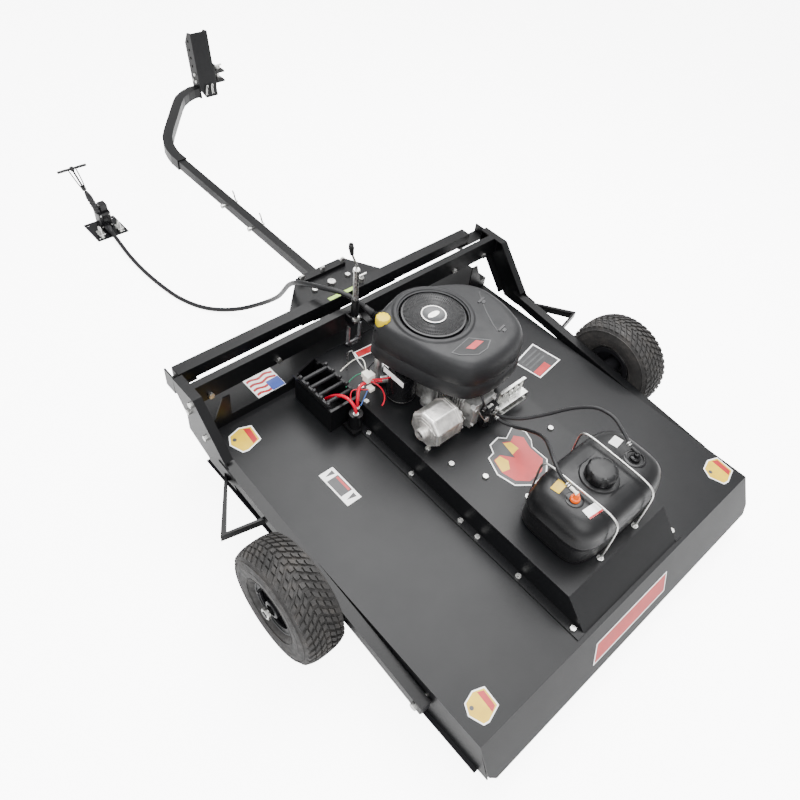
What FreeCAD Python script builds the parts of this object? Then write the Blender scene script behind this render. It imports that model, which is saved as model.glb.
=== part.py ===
import FreeCAD, Part
import math
import os

os.makedirs("parts", exist_ok=True)

V = FreeCAD.Vector

# Axes while modelling: X to the right from the centre line, Y forward from the deck's rear edge,
# Z up from the deck's top sheet. The last step sets the machine on the ground, z = 0.
DECK_HEIGHT = 197.0        # top sheet above the ground
DECK_HALF = 596.0          # half width of the top sheet
DECK_LENGTH = 1115.0       # rear edge to the foot of the front step
SHEET = 4.0                # deck sheet
SKIRT_DEPTH = 115.0        # side skirts below the top sheet
REAR_FLARE = 62.0          # how far the rear skirt leans out
STEP_HEIGHT = 35.0         # apron above the top sheet
APRON_FRONT = 1222.0

PLATFORM_X0, PLATFORM_X1 = -203.0, 220.0
PLATFORM_TOP = 83.0
PLATFORM_FRONT = 1114.0
PLATFORM_REAR_TOP = 91.0
PLATFORM_REAR_FOOT = 12.0

BAR_TOP = 200.0            # both crossbars
INNER_BAR_Y0, INNER_BAR_Y1, INNER_BAR_Z0 = 1124.0, 1148.0, 133.0
OUTER_BAR_Y0, OUTER_BAR_Y1, OUTER_BAR_Z0 = 1194.0, 1232.0, 160.0
OUTER_BAR_X0, OUTER_BAR_X1 = -611.0, 548.0

RAIL_IN, RAIL_OUT = 600.0, 632.0
RAIL_REAR, RAIL_FRONT = 150.0, 985.0
RAIL_TOP_REAR, RAIL_SLOPE = -32.0, 0.0990
RAIL_DEPTH = 32.0
ARM_WEB = 5.0
ARM_FLANGE = 28.0

PIVOT_Y, PIVOT_Z = 170.0, -46.0        # deck hinge line at the rear
PIVOT_PIN_R = 6.0

AXLE_Y, AXLE_Z = 567.0, -28.0
WHEEL_X = 704.0
TYRE_R, TYRE_WIDTH = 169.0, 127.0      # 13 x 5.00-6 turf tyre
RIM_R, AXLE_R = 76.0, 9.5
RUN_FIT = 0.06                         # radial clearance of running fits

CRANK_X, CRANK_Y = 11.0, 851.0
CRANK_R = 12.7
COVER_BASE, COVER_TOP = 222.0, 345.0
SCREEN_R = 95.0

FILLER_X, FILLER_Y = -118.0, 921.0
MUFFLER_X, MUFFLER_Y, MUFFLER_Z = -64.0, 664.0, 145.0
MUFFLER_R, MUFFLER_LENGTH = 58.0, 104.0

SPINDLE_X, SPINDLE_Y = 0.0, 585.0
SPINDLE_R = 12.7
BLADE_LENGTH, BLADE_WIDTH, BLADE_THICK = 1118.0, 76.0, 6.4
BLADE_Z = -92.0
ENGINE_PULLEY_R, BLADE_PULLEY_R = 60.0, 90.0
PULLEY_Z0, PULLEY_Z1 = 30.0, 54.0
GROOVE_DEPTH = 9.0

TANK_X0, TANK_X1 = -146.0, 224.0
TANK_Y0, TANK_Y1 = 116.0, 342.0
TANK_TOP = 240.0
FUEL_CAP_X, FUEL_CAP_Y = 24.0, 230.0
FUEL_CAP_R = 42.0
OUTLET_X, OUTLET_Y = -82.0, 226.0
VENT_X, VENT_Y = 150.0, 206.0
STRAPS = (-50.0, 106.0)

PLATE_TOP, PLATE_THICK = 160.0, 6.0
TONGUE_HALF = 16.0                     # 32 mm tube inside the 38 mm neck
TONGUE_Z = 128.5                       # tongue centre
TONGUE_X = 8.0
TONGUE_REAR, TONGUE_FRONT = 1262.0, 2268.0
TONGUE_SEAT = 25.0                     # half the gap between the hitch plates
PIN_YS = (1733.0, 1905.0)
SWING_Y = 1300.0
NECK_HALF, NECK_REAR = 19.5, 2232.0

POST_X0, POST_X1 = 376.0, 458.0
POST_Y, POST_Z0, POST_Z1 = 2698.0, 106.0, 372.0
POST_DEPTH, POST_LEAN = 60.0, 10.0
CLEVIS_PIN_X, CLEVIS_PIN_Y = 492.0, 2738.0
EAR_LOW, EAR_HIGH = 149.0, 191.0

LEVER_X, LEVER_Y, LEVER_Z = -61.0, 1098.0, 184.0
LEVER_TUBE_TOP, LEVER_LEAN, LEVER_SIDE_LEAN = 386.0, 0.024, 0.05

CONTROL_X, CONTROL_Y = -264.0, 2455.0
CABLE_D = 16.0
PULL_FOOT = (-276.0, 2468.0, -118.0)
PULL_AXIS = (-0.2190, 0.2190, 0.9508)
PULL_R, PULL_LENGTH = 4.0, 199.0

STAND_Y = 1300.0


def box(x0, y0, z0, x1, y1, z1):
    return Part.makeBox(x1 - x0, y1 - y0, z1 - z0, V(x0, y0, z0))


def rod(start, end, radius):
    axis = V(*end) - V(*start)
    return Part.makeCylinder(radius, axis.Length, V(*start), axis)


def upright(x, y, z0, z1, radius):
    return Part.makeCylinder(radius, z1 - z0, V(x, y, z0), V(0, 0, 1))


def across(x0, x1, y, z, radius):
    return Part.makeCylinder(radius, x1 - x0, V(x0, y, z), V(1, 0, 0))


def face_of(points):
    return Part.Face(Part.makePolygon([V(*p) for p in points] + [V(*points[0])]))


def plan_prism(points, z0, z1):
    return face_of([(x, y, z0) for x, y in points]).extrude(V(0, 0, z1 - z0))


def side_prism(points, x0, x1):
    return face_of([(x0, y, z) for y, z in points]).extrude(V(x1 - x0, 0, 0))


def front_prism(points, y0, y1):
    return face_of([(x, y0, z) for x, z in points]).extrude(V(0, y1 - y0, 0))


def join(shapes):
    result = shapes[0]
    for shape in shapes[1:]:
        result = result.fuse(shape)
    return result.removeSplitter()


def group(shapes):
    return Part.makeCompound(shapes)


def mirrored(shape):
    return shape.mirror(V(0, 0, 0), V(1, 0, 0))


def hex_bolt(base, direction, head_across, head_height):
    """A domed hexagon head standing on base, pointing along direction."""
    radius = head_across / math.sqrt(3)
    corners = [V(radius * math.cos(k * math.pi / 3), radius * math.sin(k * math.pi / 3), 0) for k in range(7)]
    head = Part.Face(Part.makePolygon(corners)).extrude(V(0, 0, head_height))
    head = head.common(Part.makeSphere(head_height * 0.95 + radius * 0.85, V(0, 0, -radius * 0.55)))
    turn = FreeCAD.Rotation(V(0, 0, 1), V(*direction))
    head.Placement = FreeCAD.Placement(V(*base), turn)
    return head


def rounded_path(points, share=0.45):
    """Straight runs joined by tangent arcs; returns the wire and the arc radii."""
    pts = [V(*p) for p in points]
    edges = []
    radii = []
    start = pts[0]
    for before, here, after in zip(pts, pts[1:], pts[2:]):
        run_in = here - before
        run_out = after - here
        turn = run_in.getAngle(run_out)
        cut = share * min(run_in.Length, run_out.Length)
        radii.append(cut / math.tan(turn / 2))
        along_in = V(run_in).normalize()
        along_out = V(run_out).normalize()
        first = here - along_in * cut
        last = here + along_out * cut
        inward = (along_out - along_in).normalize()
        centre = here + inward * math.sqrt(radii[-1] ** 2 + cut ** 2)
        middle = centre - inward * radii[-1]
        edges.append(Part.LineSegment(start, first).toShape())
        edges.append(Part.Arc(first, middle, last).toShape())
        start = last
    edges.append(Part.LineSegment(start, pts[-1]).toShape())
    return Part.Wire(edges), radii


def tube_along(points, radius, share=0.45):
    path, radii = rounded_path(points, share)
    direction = V(*points[1]) - V(*points[0])
    section = Part.Wire(Part.makeCircle(radius, V(*points[0]), direction))
    return path.makePipeShell([section], True, True), path, radii


def rail_top(y):
    return RAIL_TOP_REAR + (y - RAIL_REAR) * RAIL_SLOPE


# ---------------------------------------------------------------- chassis

def right_rail():
    def bar(inset):
        outline = [(RAIL_REAR, rail_top(RAIL_REAR) - inset), (RAIL_FRONT, rail_top(RAIL_FRONT) - inset),
                   (RAIL_FRONT, rail_top(RAIL_FRONT) - RAIL_DEPTH + inset),
                   (RAIL_REAR, rail_top(RAIL_REAR) - RAIL_DEPTH + inset)]
        return side_prism(outline, RAIL_IN + inset, RAIL_OUT - inset)
    tube = bar(0).cut(bar(3.0))
    return tube.cut(across(RAIL_IN - 5, RAIL_OUT + 5, PIVOT_Y, PIVOT_Z, PIVOT_PIN_R + RUN_FIT))


def right_arm():
    outline = [(1088, 200), (1189, 200), (1186, 157), (1153, 118), (1037, -9), (985, -12), (905, -6), (930, 34)]
    web = side_prism(outline, RAIL_OUT - ARM_WEB, RAIL_OUT)
    top = side_prism([(1088, 195), (1088, 200), (1189, 200), (1189, 195)], RAIL_OUT - ARM_FLANGE, RAIL_OUT)
    rear = side_prism([(1088, 200), (955, 60.2), (960, 57.5), (1093, 197)], RAIL_OUT - ARM_FLANGE, RAIL_OUT)
    front = side_prism([(1189, 200), (1186, 157), (1153, 118), (1050, 5), (1046, 9), (1149, 121),
                        (1181, 159), (1184, 197)], RAIL_OUT - ARM_FLANGE, RAIL_OUT)
    arm = join([web, top, rear, front])
    rail_space = side_prism([(RAIL_REAR, rail_top(RAIL_REAR)), (RAIL_FRONT, rail_top(RAIL_FRONT)),
                             (RAIL_FRONT, rail_top(RAIL_FRONT) - RAIL_DEPTH),
                             (RAIL_REAR, rail_top(RAIL_REAR) - RAIL_DEPTH)], RAIL_IN, RAIL_OUT)
    return arm.cut(rail_space)


def inner_crossbar():
    half = RAIL_OUT - ARM_WEB
    bar = box(-half, INNER_BAR_Y0, INNER_BAR_Z0, half, INNER_BAR_Y1, BAR_TOP)
    bar = bar.cut(box(-half, INNER_BAR_Y0 + 3, INNER_BAR_Z0 + 3, half, INNER_BAR_Y1 - 3, BAR_TOP - 3))
    for side in (-1, 1):
        near, far = sorted((side * (RAIL_OUT - ARM_FLANGE), side * (half + 1)))
        bar = bar.cut(box(near, 1080, 190, far, 1160, 205))
        bar = bar.cut(box(near, 1140, 100, far, 1160, 160))
    return bar


def outer_crossbar():
    bar = box(OUTER_BAR_X0, OUTER_BAR_Y0, OUTER_BAR_Z0, OUTER_BAR_X1, OUTER_BAR_Y1, BAR_TOP)
    hollow = box(OUTER_BAR_X0, OUTER_BAR_Y0 + 3, OUTER_BAR_Z0 + 3, OUTER_BAR_X1, OUTER_BAR_Y1 - 3, BAR_TOP - 3)
    return bar.cut(hollow)


def bar_end_brackets():
    """Flat plates under the outer bar's ends, with a tab that meets each arm's web."""
    left = join([box(-RAIL_OUT, 1189.5, 140, -RAIL_OUT + ARM_WEB, 1236, 202),
                 box(-RAIL_OUT + ARM_WEB, 1190, 154, -560, 1236, 160)])
    right = join([box(500, 1190, 154, RAIL_OUT, 1236, 160),
                  box(RAIL_OUT - ARM_WEB, 1189.5, 154, RAIL_OUT, 1236, 190),
                  box(530, 1206, 130, 542, 1222, 154)])
    return group([left, right])


def hitch_plates():
    outline = [(-191, OUTER_BAR_Y0), (-191, 1262), (-75, 1384), (124, 1384), (197, 1262), (197, OUTER_BAR_Y0)]
    upper = plan_prism(outline, PLATE_TOP - PLATE_THICK, PLATE_TOP)
    low = [(-110, 1240), (-110, 1262), (-75, 1384), (124, 1384), (126, 1262), (126, 1240)]
    lower = plan_prism(low, TONGUE_Z - TONGUE_SEAT - 1 - PLATE_THICK, TONGUE_Z - TONGUE_SEAT - 1)
    back = box(-110, 1240, TONGUE_Z - TONGUE_SEAT - 1, 126, 1246, PLATE_TOP - PLATE_THICK)
    hole = upright(TONGUE_X, SWING_Y, 60, 200, 8.0)
    plates = join([upper, back, lower]).cut(hole)
    angle = join([box(-66, 1346, PLATE_TOP, 104, 1384, PLATE_TOP + 5),
                  box(-66, 1346, PLATE_TOP, 104, 1351, PLATE_TOP + 14)])
    return group([plates, angle, stand_sleeve()])


def stand_sleeve():
    top = TONGUE_Z - TONGUE_SEAT - 1 - PLATE_THICK
    sleeve = box(TONGUE_X - 25, STAND_Y - 25, top - 160, TONGUE_X + 25, STAND_Y + 25, top)
    return sleeve.cut(box(TONGUE_X - 20.5, STAND_Y - 20.5, top - 161, TONGUE_X + 20.5, STAND_Y + 20.5, top + 1))


def stand_leg():
    leg = box(TONGUE_X - 20, STAND_Y - 20, 8 - DECK_HEIGHT, TONGUE_X + 20, STAND_Y + 20, -22)
    bore = box(TONGUE_X - 17, STAND_Y - 17, 8 - DECK_HEIGHT, TONGUE_X + 17, STAND_Y + 17, -22)
    foot = box(TONGUE_X - 70, STAND_Y - 70, -DECK_HEIGHT, TONGUE_X + 70, STAND_Y + 70, 8 - DECK_HEIGHT)
    return join([leg.cut(bore), foot])


def right_spindle():
    plate = box(RAIL_OUT, AXLE_Y - 32, AXLE_Z - 34, RAIL_OUT + 6, AXLE_Y + 32, AXLE_Z + 32)
    axle = across(RAIL_OUT, WHEEL_X + 74, AXLE_Y, AXLE_Z, AXLE_R)
    return join([plate, axle])


def right_guard():
    """One flat strap bent into a triangle, standing off the rail ahead of the wheel."""
    outer = [(RAIL_OUT, 962), (751, 797), (RAIL_OUT, 770)]
    inner = [(RAIL_OUT, 950), (733, 800), (RAIL_OUT, 778)]
    strap = plan_prism(outer, -10, 15)
    return strap.cut(plan_prism([(RAIL_OUT - 1, 951.4)] + inner[1:2] + [(RAIL_OUT - 1, 777.9)], -11, 16))


def frame_bolts():
    heads = []
    for x in (-560, -330, 410, 560):
        heads.append(hex_bolt((x, INNER_BAR_Y0, 146), (0, -1, 0), 17, 8))
    for y, z in ((1098, 178), (1117, 133), (1039, 95)):
        heads.append(hex_bolt((RAIL_OUT, y, z), (1, 0, 0), 17, 8))
        heads.append(hex_bolt((-RAIL_OUT, y, z), (-1, 0, 0), 17, 8))
    for x in (-70, 14, 98):
        heads.append(hex_bolt((x, 1351, PLATE_TOP + 22), (0, 1, 0), 17, 8))
    for x, y in ((-165, 1246), (-60, 1300), (76, 1300), (170, 1246)):
        heads.append(hex_bolt((x, y, PLATE_TOP), (0, 0, 1), 17, 8))
    return group(heads + [swing_bolt(), bar_lock_pin()] + wheel_nuts())


def bar_lock_pin():
    """Spring plunger with a T-handle, standing on the outer crossbar."""
    body = upright(60, 1213, BAR_TOP, BAR_TOP + 16, 9)
    stem = upright(60, 1213, BAR_TOP + 16, BAR_TOP + 26, 4)
    return join([body, stem, across(42, 78, 1213, BAR_TOP + 26, 4)])


def swing_bolt():
    shank = upright(TONGUE_X, SWING_Y, TONGUE_Z - TONGUE_HALF - 7, PLATE_TOP, 7.95)
    return join([shank, upright(TONGUE_X, SWING_Y, PLATE_TOP, PLATE_TOP + 9, 13)])


def wheel_nuts():
    nuts = []
    for side in (-1, 1):
        nut = hex_bolt((side * (WHEEL_X + 62), AXLE_Y, AXLE_Z), (side, 0, 0), 30, 10)
        near, far = sorted((side * (WHEEL_X + 50), side * (WHEEL_X + 80)))
        nuts.append(nut.cut(across(near, far, AXLE_Y, AXLE_Z, AXLE_R)))
    return nuts


def lift_bracket():
    """Two cheeks on the inner crossbar that carry the lever's pin."""
    cheeks = []
    for side in (-1, 1):
        near, far = sorted((LEVER_X + side * 13, LEVER_X + side * 18))
        cheeks.append(side_prism([(INNER_BAR_Y0, 172), (INNER_BAR_Y0, 199), (1100, 199), (1086, 192), (1086, 176),
                                  (1092, 172)], near, far))
    back = box(LEVER_X - 13, 1119, 172, LEVER_X + 13, INNER_BAR_Y0, 199)
    pin = across(LEVER_X - 13, LEVER_X + 13, LEVER_Y, LEVER_Z, 5)
    return join(cheeks + [back, pin])


def cable_gland():
    """Tab on the inner crossbar with the slanted ferrule that holds the cable's upper end."""
    end = V(*CABLE_POINTS[-1])
    along = (end - V(*CABLE_POINTS[-2])).normalize()
    ferrule = Part.makeCylinder(11, 30, end, along)
    nut = Part.makeCylinder(14, 7, end + along * 12, along)
    tab = box(end.x - 16, 1052, 162, end.x + 24, INNER_BAR_Y0, 167)
    lug = box(end.x - 2, 1054, 162, end.x + 18, 1072, 186)
    return join([ferrule, nut, tab, lug])


# ---------------------------------------------------------------- wheels

def right_tyre():
    half = TYRE_WIDTH / 2
    outline = [(-42, RIM_R), (-58, 86), (-half, 112), (-60, 140), (-51, 158), (-38, 166), (0, TYRE_R),
               (38, 166), (51, 158), (60, 140), (half, 112), (58, 86), (42, RIM_R)]
    inner = [(-38, RIM_R), (-52, 92), (-56, 112), (-52, 138), (-44, 150), (0, 159),
             (44, 150), (52, 138), (56, 112), (52, 92), (38, RIM_R)]

    def ring(points):
        face = face_of([(WHEEL_X + x, AXLE_Y + r, AXLE_Z) for x, r in points])
        return face.revolve(V(WHEEL_X, AXLE_Y, AXLE_Z), V(1, 0, 0), 360)
    return ring(outline).cut(ring(inner))


def right_rim():
    half = 46
    barrel = [(-half, 60), (-half, 75.7), (half, 75.7), (half, 60), (40, 60), (36, 68), (8, 70), (8, 28),
              (30, 24), (48, 24), (48, AXLE_R + RUN_FIT), (-58, AXLE_R + RUN_FIT), (-58, 24), (-6, 28),
              (-6, 70), (-36, 68), (-40, 60)]
    face = face_of([(WHEEL_X + x, AXLE_Y + r, AXLE_Z) for x, r in barrel])
    rim = face.revolve(V(WHEEL_X, AXLE_Y, AXLE_Z), V(1, 0, 0), 360)
    for k in range(4):
        angle = math.radians(45 + 90 * k)
        y, z = AXLE_Y + 48 * math.cos(angle), AXLE_Z + 48 * math.sin(angle)
        rim = rim.cut(across(WHEEL_X - 20, WHEEL_X + 20, y, z, 9))
    return rim


# ---------------------------------------------------------------- deck

def deck_shell():
    depth = -SKIRT_DEPTH
    top = box(-DECK_HALF, 0, -SHEET, DECK_HALF, DECK_LENGTH, 0)
    left = box(-DECK_HALF, 0, depth, -DECK_HALF + SHEET, DECK_LENGTH, 0)
    right = box(DECK_HALF - SHEET, 0, depth, DECK_HALF, DECK_LENGTH, 0)
    rear = side_prism([(0, 0), (SHEET, 0), (SHEET - REAR_FLARE, depth), (-REAR_FLARE, depth)],
                      -DECK_HALF, DECK_HALF)
    chamfer = 22
    for side in (-1, 1):
        corner = face_of([(side * DECK_HALF, -REAR_FLARE - 1, depth - 1),
                          (side * (DECK_HALF - chamfer), -REAR_FLARE - 1, depth - 1),
                          (side * DECK_HALF, -REAR_FLARE - 1, depth + chamfer)]).extrude(V(0, 30, 0))
        rear = rear.cut(corner)
    cheeks = []
    for x0 in (-DECK_HALF, DECK_HALF - SHEET):
        cheeks.append(side_prism([(2, 0), (2, depth), (-REAR_FLARE + 12, depth)], x0, x0 + SHEET))
    flanges = [box(-DECK_HALF - 12, -20, depth, -DECK_HALF + 1, DECK_LENGTH, depth + SHEET),
               box(DECK_HALF - 1, -20, depth, DECK_HALF + 12, DECK_LENGTH, depth + SHEET)]
    shell = join([top, left, right, rear] + cheeks + flanges)
    shell = shell.cut(upright(CRANK_X, CRANK_Y, -10, 10, 45)).cut(upright(SPINDLE_X, SPINDLE_Y, -10, 10, 50))
    for side in (-1, 1):
        near, far = sorted((side * (DECK_HALF - 10), side * (DECK_HALF + 20)))
        shell = shell.cut(across(near, far, PIVOT_Y, PIVOT_Z, PIVOT_PIN_R + RUN_FIT))
    return shell


def apron():
    """Raised front section: step, top, front wall, side walls and its sloped joint to the platform."""
    depth = -SKIRT_DEPTH
    step_left = front_prism([(-DECK_HALF, 0), (-DECK_HALF, STEP_HEIGHT), (-312, STEP_HEIGHT),
                             (PLATFORM_X0, PLATFORM_TOP), (PLATFORM_X0, 0)], DECK_LENGTH, DECK_LENGTH + SHEET)
    step_right = front_prism([(DECK_HALF, 0), (DECK_HALF, STEP_HEIGHT), (329, STEP_HEIGHT),
                              (PLATFORM_X1, PLATFORM_TOP), (PLATFORM_X1, 0)], DECK_LENGTH, DECK_LENGTH + SHEET)
    middle = box(PLATFORM_X0, DECK_LENGTH, 0, PLATFORM_X1, DECK_LENGTH + SHEET, PLATFORM_TOP)
    top = box(-DECK_HALF, DECK_LENGTH, STEP_HEIGHT - SHEET, DECK_HALF, APRON_FRONT, STEP_HEIGHT)
    front = box(-DECK_HALF, APRON_FRONT - SHEET, depth + 45, DECK_HALF, APRON_FRONT, STEP_HEIGHT)
    sides = []
    for x0 in (-DECK_HALF, DECK_HALF - SHEET):
        sides.append(side_prism([(DECK_LENGTH, depth), (DECK_LENGTH, STEP_HEIGHT), (APRON_FRONT, STEP_HEIGHT),
                                 (APRON_FRONT, depth + 45)], x0, x0 + SHEET))
    gussets = []
    for side in (-1, 1):
        edge = [(side * 506, STEP_HEIGHT), (side * 506, 118), (side * 530, 118), (side * 566, STEP_HEIGHT)]
        gussets.append(front_prism(edge, DECK_LENGTH, DECK_LENGTH + SHEET))
    return join([step_left, step_right, middle, top, front] + sides + gussets)


def engine_platform():
    outline = [(PLATFORM_FRONT, 0), (PLATFORM_FRONT, PLATFORM_TOP), (PLATFORM_REAR_TOP, PLATFORM_TOP),
               (PLATFORM_REAR_FOOT, 0)]
    hollow = [(PLATFORM_FRONT + 1, -1), (PLATFORM_FRONT + 1, PLATFORM_TOP - SHEET),
              (PLATFORM_REAR_TOP + 2, PLATFORM_TOP - SHEET), (PLATFORM_REAR_FOOT + 4, -1)]
    shell = side_prism(outline, PLATFORM_X0, PLATFORM_X1)
    shell = shell.cut(side_prism(hollow, PLATFORM_X0 + SHEET, PLATFORM_X1 - SHEET))
    flange_left = box(PLATFORM_X0 - 26, PLATFORM_REAR_FOOT, 0, PLATFORM_X0 + 1, 900, SHEET)
    flange_right = box(PLATFORM_X1 - 1, PLATFORM_REAR_FOOT, 0, PLATFORM_X1 + 26, PLATFORM_FRONT, SHEET)
    shell = join([shell, flange_left, flange_right])
    return shell.cut(upright(CRANK_X, CRANK_Y, PLATFORM_TOP - 10, PLATFORM_TOP + 5, 45))


def deck_bolts():
    heads = []
    for y in (40, 225, 375, 440, 640, 830):
        heads.append(hex_bolt((PLATFORM_X0 - 14, y, SHEET), (0, 0, 1), 15, 7))
    for y in (40, 225, 440, 640, 830, 1040):
        heads.append(hex_bolt((PLATFORM_X1 + 14, y, SHEET), (0, 0, 1), 15, 7))
    for x, y in ((-150, 560), (-165, 640), (-105, 470), (180, 470), (-165, 935), (-190, 880)):
        heads.append(hex_bolt((x, y, PLATFORM_TOP), (0, 0, 1), 15, 7))
    return group(heads)


def deck_pivot_pins():
    """Shouldered bolts on the rails; the deck's skirts turn on them."""
    pins = []
    for side in (-1, 1):
        near, far = sorted((side * (DECK_HALF - 16), side * RAIL_OUT))
        shank = across(near, far, PIVOT_Y, PIVOT_Z, PIVOT_PIN_R)
        head = hex_bolt((side * RAIL_OUT, PIVOT_Y, PIVOT_Z), (side, 0, 0), 19, 8)
        near, far = sorted((side * (DECK_HALF - 24), side * (DECK_HALF - 16)))
        nut = across(near, far, PIVOT_Y, PIVOT_Z, 10)
        pins.append(join([shank, head, nut]))
    return group(pins)


def lift_links():
    """Twin link bars pinned to a lug on the platform; their upper ends follow the lever's heel."""
    pin_y, pin_z, pin_r = 1099, 95, 4
    lug = join([box(LEVER_X - 19, 1091, PLATFORM_TOP, LEVER_X + 19, 1107, PLATFORM_TOP + 4),
                box(LEVER_X - 19, 1091, PLATFORM_TOP, LEVER_X - 14, 1107, 102),
                box(LEVER_X + 14, 1091, PLATFORM_TOP, LEVER_X + 19, 1107, 102)])
    pin = across(LEVER_X - 30, LEVER_X + 30, pin_y, pin_z, pin_r)
    lug = lug.cut(pin)
    bars = []
    for side in (-1, 1):
        near, far = sorted((LEVER_X + side * 20, LEVER_X + side * 25))
        bar = side_prism([(1093, 86), (1105, 86), (1105, 164), (1093, 164)], near, far)
        bars.append(bar.cut(pin))
    return group([lug, pin] + bars)


def fuel_tank():
    body = box(TANK_X0, TANK_Y0, PLATFORM_TOP, TANK_X1, TANK_Y1, TANK_TOP)
    upright_edges = [e for e in body.Edges if abs(e.tangentAt(0.5).z) > 0.9]
    body = body.makeFillet(44, upright_edges)
    top_edges = [e for e in body.Edges if e.BoundBox.ZMin > TANK_TOP - 0.1]
    body = body.makeFillet(26, top_edges)
    shoulder = upright(FUEL_CAP_X, FUEL_CAP_Y, TANK_TOP - 10, TANK_TOP + 6, 54)
    neck = upright(FUEL_CAP_X, FUEL_CAP_Y, TANK_TOP, TANK_TOP + 26, 32)
    bore = upright(FUEL_CAP_X, FUEL_CAP_Y, TANK_TOP - 60, TANK_TOP + 27, 27)
    tank = join([body, shoulder, neck])
    hollow = box(TANK_X0 + 8, TANK_Y0 + 8, PLATFORM_TOP + 8, TANK_X1 - 8, TANK_Y1 - 8, TANK_TOP - 8)
    hollow = hollow.makeFillet(38, [e for e in hollow.Edges if abs(e.tangentAt(0.5).z) > 0.9])
    hollow = hollow.makeFillet(20, [e for e in hollow.Edges if e.BoundBox.ZMin > TANK_TOP - 8.1])
    return tank.cut(hollow).cut(bore)


def tank_straps():
    """Bent rods over the tank, with a washer plate at each foot."""
    straps = []
    for x in STRAPS:
        route = [(x, TANK_Y0 - 9, PLATFORM_TOP), (x, TANK_Y0 - 9, TANK_TOP - 30), (x, TANK_Y0 + 2, TANK_TOP + 6),
                 (x, TANK_Y0 + 60, TANK_TOP + 12), (x, TANK_Y1 - 40, TANK_TOP + 12), (x, TANK_Y1 + 4, TANK_TOP + 5),
                 (x, TANK_Y1 + 9, TANK_TOP - 30), (x, TANK_Y1 + 9, PLATFORM_TOP)]
        feet = [upright(x, TANK_Y0 - 9, PLATFORM_TOP, PLATFORM_TOP + 10, 9),
                upright(x, TANK_Y1 + 9, PLATFORM_TOP, PLATFORM_TOP + 10, 9)]
        straps.append(join([tube_along(route, 3.2)[0]] + feet))
    return group(straps)


def tank_fittings():
    fittings = []
    for x, y, radius in ((OUTLET_X, OUTLET_Y, 12), (VENT_X, VENT_Y, 13)):
        fittings.append(join([upright(x, y, TANK_TOP, TANK_TOP + 8, radius), upright(x, y, TANK_TOP + 8, TANK_TOP + 24, 6),
                              rod((x, y, TANK_TOP + 23), (x, y + 24, TANK_TOP + 26), 5)]))
    return group(fittings)


def fuel_cap():
    cap = upright(FUEL_CAP_X, FUEL_CAP_Y, TANK_TOP + 8, TANK_TOP + 38, FUEL_CAP_R)
    cap = cap.makeFillet(5, [e for e in cap.Edges if e.BoundBox.ZMin > TANK_TOP + 37.9])
    return cap.cut(upright(FUEL_CAP_X, FUEL_CAP_Y, TANK_TOP + 7, TANK_TOP + 33, 34))


def engine_block():
    """Crankcase on four feet, two cylinders, the posts under the cover and the oil filler."""
    crankcase = box(-48, 752, PLATFORM_TOP, 100, 962, 188)
    crankcase = crankcase.makeFillet(24, [e for e in crankcase.Edges if abs(e.tangentAt(0.5).z) > 0.9])
    feet = [upright(x, y, PLATFORM_TOP, 97, 22) for x in (-44, 96) for y in (770, 944)]
    cylinders = []
    for angle in (-88, -35):
        barrel = box(0, -44, 104, 180, 44, 188)
        head = box(163, -50, 100, 225, 50, 192)
        for shape in (barrel, head):
            shape.rotate(V(0, 0, 0), V(0, 0, 1), angle)
            shape.translate(V(CRANK_X, CRANK_Y, 0))
            cylinders.append(shape)
    neck = upright(CRANK_X, CRANK_Y, 188, 200, 60)
    posts = [upright(x, y, 180, COVER_TOP - 6, 7) for x, y in ((12, 672), (178, 736), (-40, 948))]
    posts.append(upright(88, 944, 180, COVER_TOP - 42, 7))
    filler = rod((FILLER_X, FILLER_Y, PLATFORM_TOP + 6), (FILLER_X, FILLER_Y, 320), 11)
    filler_foot = rod((FILLER_X, FILLER_Y, 98), (-40, 880, 98), 11)
    block = join([crankcase, neck] + feet + cylinders + posts + [filler_foot, filler])
    bore = upright(CRANK_X, CRANK_Y, PLATFORM_TOP - 5, 205, CRANK_R + RUN_FIT)
    return block.cut(bore).cut(upright(FILLER_X, FILLER_Y, 290, 325, 6))


COVER_OUTLINE = [(-140, 935), (-62, 978), (25, 984), (110, 958), (190, 915), (234, 860), (242, 782),
                 (228, 708), (196, 654), (138, 624), (58, 612), (-8, 617), (-56, 640), (-96, 708), (-122, 788),
                 (-142, 866)]


def smooth_cover(scale, z0, z1):
    wire_points = [V(CRANK_X + (x - CRANK_X) * scale, CRANK_Y - 50 + (y - CRANK_Y + 50) * scale, z0)
                   for x, y in COVER_OUTLINE]
    curve = Part.BSplineCurve()
    curve.interpolate(wire_points, True)
    return Part.Face(Part.Wire(curve.toShape())).extrude(V(0, 0, z1 - z0))


def engine_cover():
    """Blower housing: a hollow shroud with a round opening over the fan."""
    body = join([smooth_cover(1.0, COVER_BASE, COVER_TOP - 40), smooth_cover(0.965, COVER_TOP - 40, COVER_TOP - 20),
                 smooth_cover(0.90, COVER_TOP - 20, COVER_TOP)])
    hollow = join([smooth_cover(0.955, COVER_BASE - 1, COVER_TOP - 42), smooth_cover(0.87, COVER_TOP - 42, COVER_TOP - 6)])
    ring = upright(CRANK_X, CRANK_Y, COVER_TOP - 6, COVER_TOP + 6, 114)
    shell = join([body.cut(hollow), ring])
    shell = shell.cut(upright(CRANK_X, CRANK_Y, COVER_TOP - 30, COVER_TOP + 20, SCREEN_R + 5))
    return shell.cut(upright(FILLER_X, FILLER_Y, COVER_BASE - 5, COVER_TOP + 5, 24))


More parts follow.
